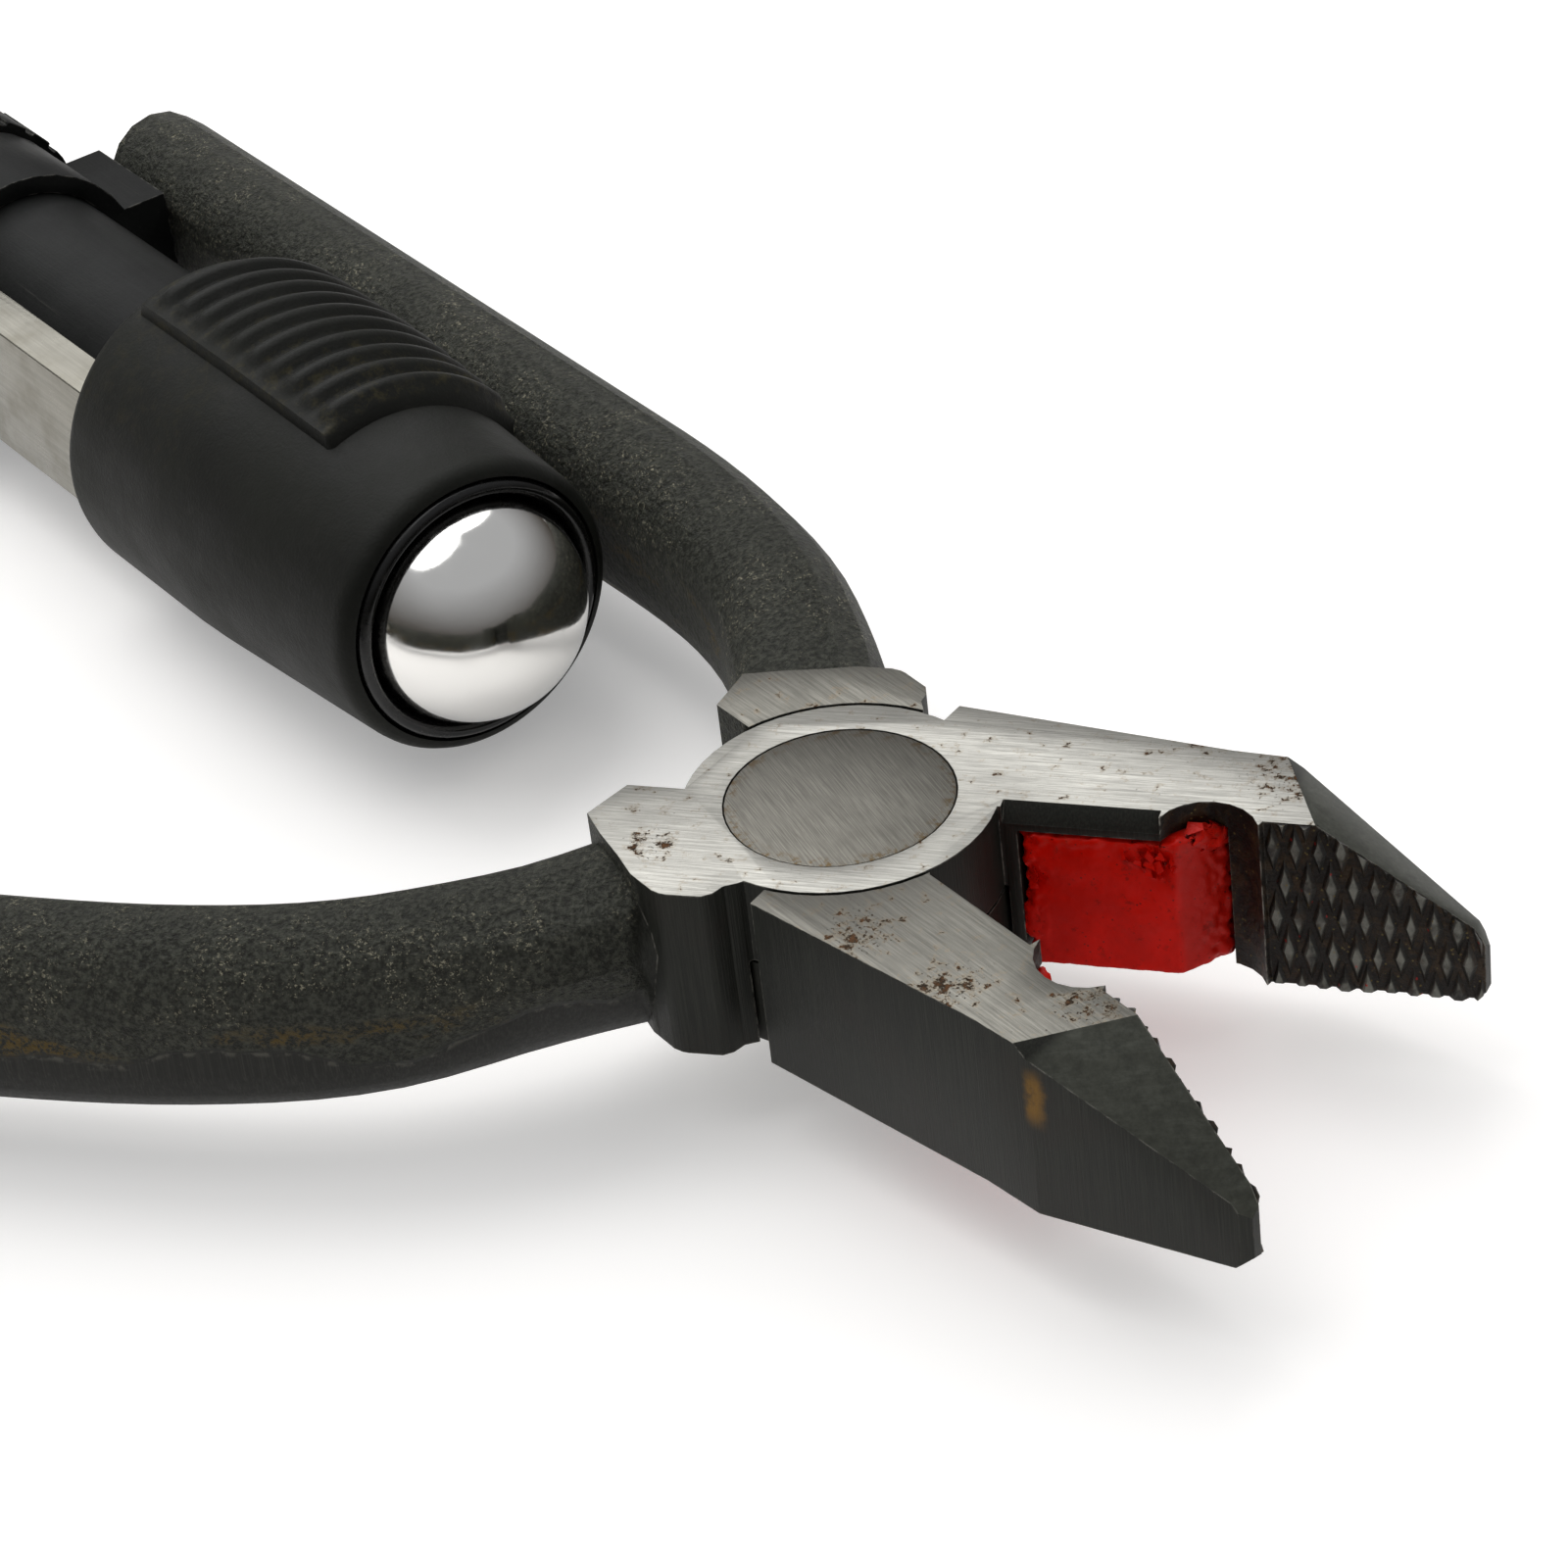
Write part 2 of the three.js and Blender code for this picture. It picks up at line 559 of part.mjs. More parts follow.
// ---------------------------------------------------------------- rod and knob
// Flat bar twisted about X, grown all round by extra.
function twistedBar(low, high, extra = 0) {
  const steps = Math.round((high - low) * 0.9);
  const geometry = new THREE.BoxGeometry(high - low, ROD_W + 2 * extra, ROD_T + 2 * extra, steps, 2, 1);
  geometry.translate((low + high) / 2, 0, 0);
  const place = geometry.attributes.position;
  for (let i = 0; i < place.count; i++) {
    const [x, y, z] = [place.getX(i), place.getY(i), place.getZ(i)];
    const a = (x / ROD_PITCH) * 2 * Math.PI;
    place.setXYZ(i, x, y * Math.cos(a) - z * Math.sin(a), y * Math.sin(a) + z * Math.cos(a));
  }
  return solid(geometry);
}

function spiralRod() {
  const [rear, front] = ROD_X;
  const shoulder = ringX(front - 1.5, front + 0.6, 2.6, 0, 20);
  const journal = ringX(front, -45.6, 1.6, 0, 20);
  const tail = ringX(rear, HUB_X[1] + 0.6, HUB_BORE_R - 0.1, 0, 20);
  return cut(join(twistedBar(HUB_X[1] + 0.2, front), shoulder, journal, tail), knobPinHole());
}

function rodHead() {
  return ringX(-46.9, -45.4, 3.2, 1.65, 20);
}

// Keyed piston between the rod's head and the return spring.
function springFollower() {
  const [low, high] = FOLLOWER_X;
  const key = block([low, -0.9, -6.9], [high, 0.9, -4]);
  return cut(join(ringX(low, high, BORE_R - 0.1), key), ringX(low - 1, high + 1, 1.65, 0, 20));
}

function returnSpring() {
  return coil(FOLLOWER_X[0] - 0.6, NUT_X[1] + 1.7, SPRING_R, SPRING_WIRE, SPRING_TURNS);
}

function knobPinHole() {
  return postZ(1.0, -9, 9, PIN_X, 0, 16);
}

function knobPin() {
  return postZ(0.9, -HUB_R + 0.2, HUB_R - 0.2, PIN_X, 0, 16);
}

function knobHub() {
  const [rear, front] = HUB_X;
  const body = join(ringX(rear, front, HUB_R, 0, 24), ringX(front - 1.4, front, 6.2, 0, 24));
  return cut(body, ringX(rear + 0.4, front + 1, HUB_BORE_R, 0, 20), knobPinHole());
}

// Moulded knob with finger flutes.
function pullKnob() {
  const [rear, front] = KNOB_X;
  const outside = turned([
    [rear, 0], [rear, 7.6], [rear + 1.6, 9.9], [rear + 4.5, KNOB_R], [rear + 8.5, KNOB_R],
    [rear + 13, 9.9], [front - 2.4, 8.4], [front, 7.6], [front, 0],
  ], 36);
  const core = ringX(HUB_X[0] - 0.3, front + 1, HUB_R + 0.1, 0, 24);
  const mouth = ringX(HUB_X[1] - 1.7, front + 1, 6.4, 0, 24);
  const capRoom = ringX(rear - 1, rear + 1.6, 6.2, 0, 24);
  const flutes = [];
  for (let i = 0; i < 9; i++) {
    const flute = new THREE.CylinderGeometry(2.0, 2.0, 12, 12).rotateZ(Math.PI / 2);
    flutes.push(solid(flute.translate(rear + 6.5, 0, KNOB_R + 1.1).rotateX((i / 9) * 2 * Math.PI)));
  }
  return cut(outside, core, mouth, capRoom, ...flutes);
}

function knobCap() {
  const rear = KNOB_X[0];
  const rim = [[rear - 0.4, 5.2], [rear + 0.2, 5.9], [rear + 1.3, 5.9]];
  return turned([[rear - 0.4, 0], ...rim, [rear + 1.3, 0]], 24);
}

// ---------------------------------------------------------------- assembly
const pliers = new THREE.Group();

const barrel = new THREE.Group();
barrel.position.z = MID_Z;

const swing = new THREE.Group();
swing.rotation.z = THREE.MathUtils.degToRad(OPEN_DEG);

pliers.add(
  piece("fixed_half", fixedHalf(), forged),
  piece("pivot_rivet", pivotRivet(), ground),
  piece("rivet_foot", rivetFoot(), ground),
  piece("fixed_jaw_pad", jawPad(-1), rubber),
  barrel,
  swing,
);

swing.add(
  piece("swing_half", swingHalf(), forged),
  piece("swing_jaw_pad", jawPad(1), rubber),
);

const catchGroup = new THREE.Group();
catchGroup.position.z = MID_Z;
swing.add(catchGroup);
catchGroup.add(
  piece("catch_hook", catchHook(), plated),
  piece("catch_rivet_front", catchRivet(CATCH_RIVET_X[1]), plated),
  piece("catch_rivet_rear", catchRivet(CATCH_RIVET_X[0]), plated),
);

barrel.add(
  piece("barrel_tube", barrelTube(), blued),
  piece("front_dome", frontDome(), mirror),
  piece("guide_rail", guideRail(), plated),
  piece("anchor_collar", anchorCollar(), blued),
  piece("anchor_screw_front", anchorScrew(SCREW_X[1]), plated),
  piece("anchor_screw_rear", anchorScrew(SCREW_X[0]), plated),
  piece("detent_spring", detentSpring(), spring),
  piece("detent_ball", detentBall(), plated),
  piece("drive_nut", driveNut(), bronze),
  piece("thrust_washer", thrustWasher(), plated),
  piece("nut_ring", nutRing(), blued),
  piece("selector_ring", selectorRing(), blued),
  piece("lock_sleeve", lockSleeve(), moulded),
  piece("sleeve_lip", sleeveLip(), gloss),
  piece("friction_ring", frictionRing(), gloss),
  piece("spiral_rod", spiralRod(), plated),
  piece("rod_head", rodHead(), plated),
  piece("spring_follower", springFollower(), bronze),
  piece("return_spring", returnSpring(), spring),
  piece("knob_hub", knobHub(), plated),
  piece("knob_pin", knobPin(), plated),
  piece("pull_knob", pullKnob(), moulded),
  piece("knob_cap", knobCap(), gloss),
);

export default pliers;
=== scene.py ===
"""Reversible safety-wire twisting pliers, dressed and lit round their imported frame.

X runs along the twist axis towards the jaw tips, Z is up, and the origin is the centre of the pivot
rivet's top face. Sizes in the classes are millimetres; meshes are metres.
"""

import logging
import math
import random
from contextlib import contextmanager
from dataclasses import dataclass
from enum import Enum
from typing import Callable, Iterator, Optional, Sequence, Union

import bpy
from mathutils import Matrix, Vector, noise


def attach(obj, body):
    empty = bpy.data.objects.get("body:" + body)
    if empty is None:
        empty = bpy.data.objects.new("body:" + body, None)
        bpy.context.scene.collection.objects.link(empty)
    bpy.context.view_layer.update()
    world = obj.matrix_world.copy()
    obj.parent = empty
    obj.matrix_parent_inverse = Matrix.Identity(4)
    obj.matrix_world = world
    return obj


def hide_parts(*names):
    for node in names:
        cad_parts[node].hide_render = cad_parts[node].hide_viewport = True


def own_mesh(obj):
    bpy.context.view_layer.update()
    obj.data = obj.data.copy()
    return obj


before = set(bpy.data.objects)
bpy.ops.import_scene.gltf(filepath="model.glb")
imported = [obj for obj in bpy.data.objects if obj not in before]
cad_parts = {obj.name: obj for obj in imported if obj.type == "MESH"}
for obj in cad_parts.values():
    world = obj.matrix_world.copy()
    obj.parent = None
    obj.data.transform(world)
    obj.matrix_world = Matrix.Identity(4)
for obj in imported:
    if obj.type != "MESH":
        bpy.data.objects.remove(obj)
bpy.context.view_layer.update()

LOG = logging.getLogger("wire_pliers")
MM = 0.001
AXIS_Z = -5.9  # height of the barrel's axis
HEAD_T = 11.8  # thickness of jaws and neck
OPEN_DEG = 38.7  # angle between the jaws at rest

Colour = tuple[float, float, float]
Point = tuple[float, float, float]
Pair = tuple[float, float]  # two lengths, angles or shares
Value = Union[float, bpy.types.NodeSocket]


class Body(Enum):
    """Rigid bodies of the tool."""

    FRAME = "frame"
    SWING = "swing"
    SLEEVE = "sleeve"
    SELECTOR = "selector"
    FOLLOWER = "follower"
    ROD = "rod"


class Slot(Enum):
    """Material slots of the record."""

    FORGED = "forged_steel"
    GROUND = "ground_steel"
    RUBBER = "red_rubber"
    PLATED = "plated_steel"
    POLISHED = "polished_steel"
    BLUED = "blued_steel"
    MOULDED = "black_plastic"
    GLOSS = "gloss_black"
    SEAL = "black_rubber"
    SPRING = "spring_steel"
    BRONZE = "bronze"


# ------------------------------------------------------------------ node graphs
class Graph:
    """Node tree of one finish, written as short calls. Lengths inside it are millimetres."""

    def __init__(self, name: str, shader: str = "ShaderNodeBsdfPrincipled") -> None:
        """Start a material.

        Args:
            name: material name.
            shader: type of the node that feeds its surface.
        """
        self.material = bpy.data.materials.new(name)
        self.material.use_nodes = True
        self.nodes = self.material.node_tree.nodes
        self.links = self.material.node_tree.links
        self.nodes.clear()
        self.shader = self.nodes.new(shader)
        out = self.nodes.new("ShaderNodeOutputMaterial")
        self.links.new(self.shader.outputs[0], out.inputs["Surface"])
        self.texture = self.nodes.new("ShaderNodeTexCoord")

    def feed(self, socket: bpy.types.NodeSocket, value: object) -> None:
        """Fill an input.

        Args:
            socket: the input.
            value: a socket to link, or a plain value.
        """
        if isinstance(value, bpy.types.NodeSocket):
            self.links.new(value, socket)
        else:
            socket.default_value = value

    def set(self, **inputs: object) -> None:
        """Fill inputs of the shader.

        Args:
            inputs: values by name, with underscores for spaces.
        """
        for name, value in inputs.items():
            socket = self.shader.inputs[name.replace("_", " ")]
            if socket.type == "RGBA" and isinstance(value, tuple):
                value = (*value, 1.0)
            self.feed(socket, value)

    def coords(self, turn: float = 0.0, stretch: Point = (1.0, 1.0, 1.0)) -> bpy.types.NodeSocket:
        """Object coordinates in millimetres.

        Args:
            turn: degrees the pattern is turned about Z.
            stretch: scale of the pattern along its own X, Y and Z, after the turn.

        Returns:
            The vector socket.
        """
        node = self.nodes.new("ShaderNodeMapping")
        node.inputs["Rotation"].default_value = (0.0, 0.0, math.radians(turn))
        node.inputs["Scale"].default_value = (1 / MM,) * 3
        self.feed(node.inputs["Vector"], self.texture.outputs["Object"])
        if stretch == (1.0, 1.0, 1.0):
            return node.outputs["Vector"]
        more = self.nodes.new("ShaderNodeMapping")
        more.inputs["Scale"].default_value = stretch
        self.feed(more.inputs["Vector"], node.outputs["Vector"])
        return more.outputs["Vector"]

    def normal(self, turn: float = 0.0) -> bpy.types.NodeSocket:
        """Surface normal in the piece's own axes.

        Args:
            turn: degrees it is turned about Z.

        Returns:
            The vector socket.
        """
        node = self.nodes.new("ShaderNodeMapping")
        node.vector_type = "VECTOR"
        node.inputs["Rotation"].default_value = (0.0, 0.0, math.radians(turn))
        self.feed(node.inputs["Vector"], self.texture.outputs["Normal"])
        return node.outputs["Vector"]

    def split(self, vector: bpy.types.NodeSocket) -> tuple[bpy.types.NodeSocket, ...]:
        """Take a vector apart.

        Args:
            vector: the vector.

        Returns:
            Its X, Y and Z sockets.
        """
        node = self.nodes.new("ShaderNodeSeparateXYZ")
        self.feed(node.inputs[0], vector)
        return tuple(node.outputs)

    def math(self, operation: str, a: Value, b: Value = 0.0, c: Value = 0.0) -> bpy.types.NodeSocket:
        """A math node on up to three values.

        Args:
            operation: what it does.
            a: first value.
            b: second value.
            c: third value.

        Returns:
            The value socket.
        """
        node = self.nodes.new("ShaderNodeMath")
        node.operation = operation
        for socket, value in zip(node.inputs, (a, b, c)):
            self.feed(socket, value)
        return node.outputs[0]

    def all(self, *masks: Value) -> bpy.types.NodeSocket:
        """Product of masks.

        Args:
            masks: the masks.

        Returns:
            The value socket.
        """
        result = masks[0]
        for mask in masks[1:]:
            result = self.math("MULTIPLY", result, mask)
        return result

    def unless(self, mask: Value) -> bpy.types.NodeSocket:
        """One minus the mask."""
        return self.math("SUBTRACT", 1.0, mask)

    def step(self, value: Value, low: float, high: float) -> bpy.types.NodeSocket:
        """Smooth step between 0 and 1.

        Args:
            value: the value.
            low: value that gives 0.
            high: value that gives 1, above or below low.

        Returns:
            The value socket.
        """
        node = self.nodes.new("ShaderNodeMapRange")
        node.interpolation_type = "SMOOTHSTEP"
        rising = high > low
        self.feed(node.inputs["Value"], value)
        node.inputs["From Min"].default_value = low if rising else high
        node.inputs["From Max"].default_value = high if rising else low
        node.inputs["To Min"].default_value = 0.0 if rising else 1.0
        node.inputs["To Max"].default_value = 1.0 if rising else 0.0
        return node.outputs["Result"]

    def noise(
        self, vector: bpy.types.NodeSocket, scale: float, detail: float = 3.0, rough: float = 0.55
    ) -> bpy.types.NodeSocket:
        """Noise of about 0.5 on average.

        Args:
            vector: coordinates.
            scale: features per millimetre.
            detail: octaves.
            rough: weight of the finer octaves.

        Returns:
            The value socket.
        """
        node = self.nodes.new("ShaderNodeTexNoise")
        self.feed(node.inputs["Vector"], vector)
        node.inputs["Scale"].default_value = scale
        node.inputs["Detail"].default_value = detail
        node.inputs["Roughness"].default_value = rough
        return node.outputs["Fac"]

    def specks(self, vector: bpy.types.NodeSocket, scale: float, size: float) -> bpy.types.NodeSocket:
        """Scattered round specks: 1 in their middles.

        Args:
            vector: coordinates.
            scale: cells per millimetre.
            size: radius of a speck as a share of its cell.

        Returns:
            The mask socket.
        """
        node = self.nodes.new("ShaderNodeTexVoronoi")
        self.feed(node.inputs["Vector"], vector)
        node.inputs["Scale"].default_value = scale
        return self.step(node.outputs["Distance"], size, size * 0.4)

    def distance(self, vector: bpy.types.NodeSocket, centre: Point) -> bpy.types.NodeSocket:
        """Millimetres from a point.

        Args:
            vector: coordinates.
            centre: the point.

        Returns:
            The value socket.
        """
        node = self.nodes.new("ShaderNodeVectorMath")
        node.operation = "DISTANCE"
        self.feed(node.inputs[0], vector)
        node.inputs[1].default_value = centre
        return node.outputs["Value"]

    def near(self, vector: bpy.types.NodeSocket, centre: Point, reach: float) -> bpy.types.NodeSocket:
        """1 at centre, fading to 0 at reach millimetres from it."""
        return self.step(self.distance(vector, centre), reach, reach * 0.25)

    def mix(self, factor: Value, a: object, b: object) -> bpy.types.NodeSocket:
        """Mix of two colours.

        Args:
            factor: share of b.
            a: first colour.
            b: second colour.

        Returns:
            The colour socket.
        """
        node = self.nodes.new("ShaderNodeMix")
        node.data_type = "RGBA"
        self.feed(node.inputs[0], factor)
        for socket, value in ((node.inputs[6], a), (node.inputs[7], b)):
            self.feed(socket, (*value, 1.0) if isinstance(value, tuple) else value)
        return node.outputs[2]

    def blend(self, factor: Value, a: Value, b: Value) -> bpy.types.NodeSocket:
        """Mix of two numbers.

        Args:
            factor: share of b.
            a: first number.
            b: second number.

        Returns:
            The value socket.
        """
        node = self.nodes.new("ShaderNodeMix")
        for socket, value in zip(node.inputs[:1] + node.inputs[2:4], (factor, a, b)):
            self.feed(socket, value)
        return node.outputs[0]

    def edges(self, radius: float) -> bpy.types.NodeSocket:
        """Mask of sharp outer edges.

        Args:
            radius: about how far the mask reaches, mm.

        Returns:
            The value socket.
        """
        bevel = self.nodes.new("ShaderNodeBevel")
        bevel.samples = 6
        bevel.inputs["Radius"].default_value = radius * MM
        geometry = self.nodes.new("ShaderNodeNewGeometry")
        dot = self.nodes.new("ShaderNodeVectorMath")
        dot.operation = "DOT_PRODUCT"
        self.feed(dot.inputs[0], bevel.outputs["Normal"])
        self.feed(dot.inputs[1], geometry.outputs["Normal"])
        return self.step(dot.outputs["Value"], 0.985, 0.86)

    def bump(self, *layers: tuple[bpy.types.NodeSocket, float]) -> None:
        """Raise the surface.

        Args:
            layers: heights from 0 to 1, each with the millimetres it stands for.
        """
        below: Optional[bpy.types.NodeSocket] = None
        for height, depth in layers:
            node = self.nodes.new("ShaderNodeBump")
            node.inputs["Distance"].default_value = depth * MM
            node.inputs["Strength"].default_value = 1.0
            self.feed(node.inputs["Height"], height)
            if below is not None:
                self.feed(node.inputs["Normal"], below)
            below = node.outputs["Normal"]
        self.feed(self.shader.inputs["Normal"], below)


# ------------------------------------------------------------------ finishes
@dataclass(frozen=True)
class Finish:
    """A named finish and the record slot it belongs to."""

    name: str
    slot: Slot

    def material(self) -> bpy.types.Material:
        """The finish's material, made once.

        Returns:
            The material.
        """
        made = bpy.data.materials.get(self.name)
        if made is None:
            graph = Graph(self.name)
            self.paint(graph)
            made = graph.material
        return made

    def paint(self, graph: Graph) -> None:
        """Fill in the graph of the finish.

        Args:
            graph: its graph.
        """
        raise NotImplementedError


@dataclass(frozen=True)
class HalfSteel(Finish):
    """Forged pliers half: ground top, lined dark sides, grainy handle with painted highlights, grimy jaw face
    and rusty pits.
    """

    turn: float = 0.0
    hand: float = 1.0
    # Base colour of the ground faces; each half sets its own, darker or lighter as painted light.
    ground: Colour = (0.50, 0.485, 0.445)
    rusty: Sequence[tuple[Point, float]] = ()
    lined: Colour = (0.0112, 0.0117, 0.0093)
    black: Colour = (0.0155, 0.0160, 0.0120)
    slope: Colour = (0.064, 0.066, 0.053)
    grime: Colour = (0.0075, 0.0050, 0.0032)
    rust: Colour = (0.105, 0.047, 0.018)
    ochre: Colour = (0.17, 0.085, 0.010)
    bright: Colour = (0.34, 0.33, 0.29)
    brown_film: Colour = (0.019, 0.0155, 0.0125)
    nick: Colour = (0.15, 0.145, 0.12)
    smear: Colour = (0.115, 0.12, 0.10)
    soil: Colour = (0.015, 0.0155, 0.013)
    brown_dirt: Colour = (0.030, 0.017, 0.007)
    crumb: Colour = (0.10, 0.075, 0.025)
    deep_rust: Colour = (0.035, 0.022, 0.012)
    rust_halo: Colour = (0.21, 0.165, 0.11)
    raised_grain: Colour = (0.064, 0.066, 0.052)
    # Pale colour painted as highlights on the handle's grain.
    painted_glint: Colour = (0.30, 0.28, 0.20)
    warm_patch: Colour = (0.105, 0.066, 0.012)
    band_dark: Colour = (0.0125, 0.0125, 0.0105)
    band_pale: Colour = (0.034, 0.033, 0.028)
    band_nick: Colour = (0.16, 0.15, 0.12)
    band_rim: Colour = (0.12, 0.115, 0.095)

    def paint(self, graph: Graph) -> None:
        """Fill in the graph of the finish.

        Args:
            graph: its graph.
        """
        g = graph
        place = g.coords(self.turn)
        x, y, z = g.split(place)
        out_y = g.math("MULTIPLY", y, self.hand)
        _, ny, nz = g.split(g.normal(self.turn))
        facing = g.math("MULTIPLY", ny, self.hand)

        top = g.all(g.step(nz, 0.90, 0.97), g.step(z, -0.45, -0.3))
        under = g.all(g.step(nz, -0.90, -0.97), g.step(z, -11.5, -11.7), g.step(z, -12.3, -12.2))
        ground = g.math("MAXIMUM", top, under)
        behind = g.step(x, -9.7, -10.6)
        upright = g.all(g.step(g.math("ABSOLUTE", nz), 0.45, 0.3), g.unless(behind))
        nose = g.all(g.step(x, 26.5, 27.2), g.step(nz, 0.25, 0.4), g.unless(ground))
        inner = g.all(g.step(facing, -0.25, -0.6), g.step(x, 18.8, 19.6), g.step(out_y, 3.2, 2.8))

        broad = g.noise(g.coords(self.turn, (0.16, 5.0, 5.0)), 1.0, 4.0, 0.6)
        fine = g.noise(g.coords(self.turn, (0.5, 19.0, 19.0)), 1.0, 3.0, 0.7)
        upright_lines = g.noise(g.coords(self.turn, (8.0, 8.0, 0.18)), 1.0, 4.0, 0.65)
        cloud = g.noise(place, 0.16, 4.0, 0.6)
        mottle = g.noise(place, 0.9, 5.0, 0.65)
        grain = g.noise(place, 2.6, 4.0, 0.68)

        colour, pitted, streak = self.ground_colour(g, place, broad, fine, cloud)
        metal_top = g.blend(pitted, 1.0, 0.2)
        rough_top = g.blend(pitted, g.blend(streak, 0.50, 0.34), 0.85)

        # Sides: dark, lined from grinding, with a few pale nicks.
        side = g.mix(g.step(upright_lines, 0.35, 0.72), self.lined, tuple(c * 2.2 for c in self.lined))
        side = g.mix(g.all(g.step(cloud, 0.45, 0.75), 0.6), side, self.brown_film)
        nicked = g.noise(g.coords(self.turn, (2.0, 2.0, 0.7)), 1.3, 5.0, 0.8)
        nicks = g.all(g.step(nicked, 0.70, 0.76), 0.6)
        side = g.mix(nicks, side, self.nick)
        patch = g.all(
            g.step(g.math("ABSOLUTE", g.math("SUBTRACT", g.math("ADD", x, mottle), 27.4)), 0.85, 0.1),
            g.step(g.math("ABSOLUTE", g.math("ADD", z, 3.4)), 2.4, 0.8),
            g.step(out_y, 5.0, 6.0),
            g.step(g.blend(0.5, cloud, mottle), 0.36, 0.56),
        )
        side = g.mix(patch, side, self.ochre)

        # Nose slope: green grey with pale smears across it.
        smeared = g.noise(g.coords(self.turn + 35.0, (1.8, 0.30, 1.8)), 0.8, 5.0, 0.7)
        slope = g.mix(g.step(smeared, 0.40, 0.90), self.slope, self.smear)
        soiled = g.all(g.step(g.blend(0.5, mottle, grain), 0.36, 0.70), 0.5)
        slope = g.mix(soiled, slope, self.soil)

        skin, band = self.handle_colour(g, place, z, facing, behind, mottle, grain, upright_lines, nicks)

        # Jaw's working face: black grime with brown and rust-coloured crumbs.
        dirt = g.mix(g.step(mottle, 0.45, 0.62), self.grime, self.brown_dirt)
        dirt = g.mix(g.specks(place, 1.9, 0.20), dirt, self.crumb)

        body = g.mix(nose, g.mix(behind, side, skin), slope)
        edge = g.all(g.edges(0.20), g.step(g.noise(place, 1.4, 3.0), 0.38, 0.62), g.unless(behind))
        body = g.mix(g.all(edge, 0.8), g.mix(inner, body, dirt), self.bright)
        rough_body = g.blend(behind, g.blend(upright_lines, 0.40, 0.58), g.blend(grain, 0.36, 0.70))
        g.set(
            Base_Color=g.mix(ground, body, colour),
            Metallic=g.blend(ground, g.blend(edge, 0.25, 0.8), metal_top),
            Roughness=g.blend(ground, g.blend(inner, rough_body, 0.5), rough_top),
            Specular_IOR_Level=0.23,
        )
        rough_skin = g.all(behind, g.unless(band), g.unless(ground))
        g.bump(
            (g.all(grain, rough_skin), 0.36),
            (g.all(mottle, rough_skin), 0.30),
            (g.all(g.blend(0.5, broad, fine), ground), 0.02),
            (g.all(upright_lines, upright), 0.03),
            (g.all(g.unless(pitted), ground), 0.05),
            (g.all(mottle, inner), 0.25),
        )

    def ground_colour(
        self,
        g: Graph,
        place: bpy.types.NodeSocket,
        broad: bpy.types.NodeSocket,
        fine: bpy.types.NodeSocket,
        cloud: bpy.types.NodeSocket,
    ) -> tuple[bpy.types.NodeSocket, ...]:
        """Ground faces: brushed along the jaw, stained, and pitted with rust here and there. Their base tone
        is set per half as painted light.

        Args:
            g: the graph.
            place: coordinates in the half's own axes.
            broad: wide brush lines.
            fine: narrow brush lines.
            cloud: slow variation.

        Returns:
            Colour, mask of the pits, and mask of the brush lines.
        """
        streak = g.step(g.blend(0.5, broad, fine), 0.34, 0.66)
        steel = g.mix(streak, tuple(c * 0.58 for c in self.ground), self.ground)
        steel = g.mix(g.all(g.step(cloud, 0.42, 0.7), 0.5), steel, tuple(c * 0.62 for c in self.ground))
        weight: Value = 0.0
        for centre, reach in self.rusty:
            weight = g.math("MAXIMUM", weight, g.near(place, centre, reach))
        pits = g.math("ADD", g.noise(place, 0.95, 6.0, 0.72), g.math("MULTIPLY", weight, 0.10))
        pitted = g.step(pits, 0.64, 0.68)
        small = g.math("ADD", g.noise(place, 3.4, 4.0, 0.7), g.math("MULTIPLY", weight, 0.10))
        pitted = g.math("MAXIMUM", pitted, g.all(g.step(small, 0.68, 0.72), 0.85))
        rust = g.mix(g.step(g.noise(place, 2.2, 3.0), 0.42, 0.58), self.deep_rust, self.rust)
        halo = g.all(g.step(pits, 0.55, 0.64), 0.45)
        steel = g.mix(halo, steel, self.rust_halo)
        return g.mix(pitted, steel, rust), pitted, streak

    def handle_colour(
        self,
        g: Graph,
        place: bpy.types.NodeSocket,
        z: bpy.types.NodeSocket,
        facing: bpy.types.NodeSocket,
        behind: bpy.types.NodeSocket,
        mottle: bpy.types.NodeSocket,
        grain: bpy.types.NodeSocket,
        lines: bpy.types.NodeSocket,
        nicks: bpy.types.NodeSocket,
    ) -> tuple[bpy.types.NodeSocket, ...]:
        """Handle: black grainy skin with painted highlights on its upper part, ochre patches, and a smooth
        ground band low outside.

        Args:
            g: the graph.
            place: coordinates in the half's own axes.
            z: height.
            facing: how far the surface faces the jaw side.
            behind: mask of the handle.
            mottle: medium variation.
            grain: forged grain.
            lines: upright grinding lines.
            nicks: mask of pale nicks.

        Returns:
            Colour, and mask of the ground band.
        """
        skin = g.mix(g.step(grain, 0.36, 0.68), self.black, self.raised_grain)
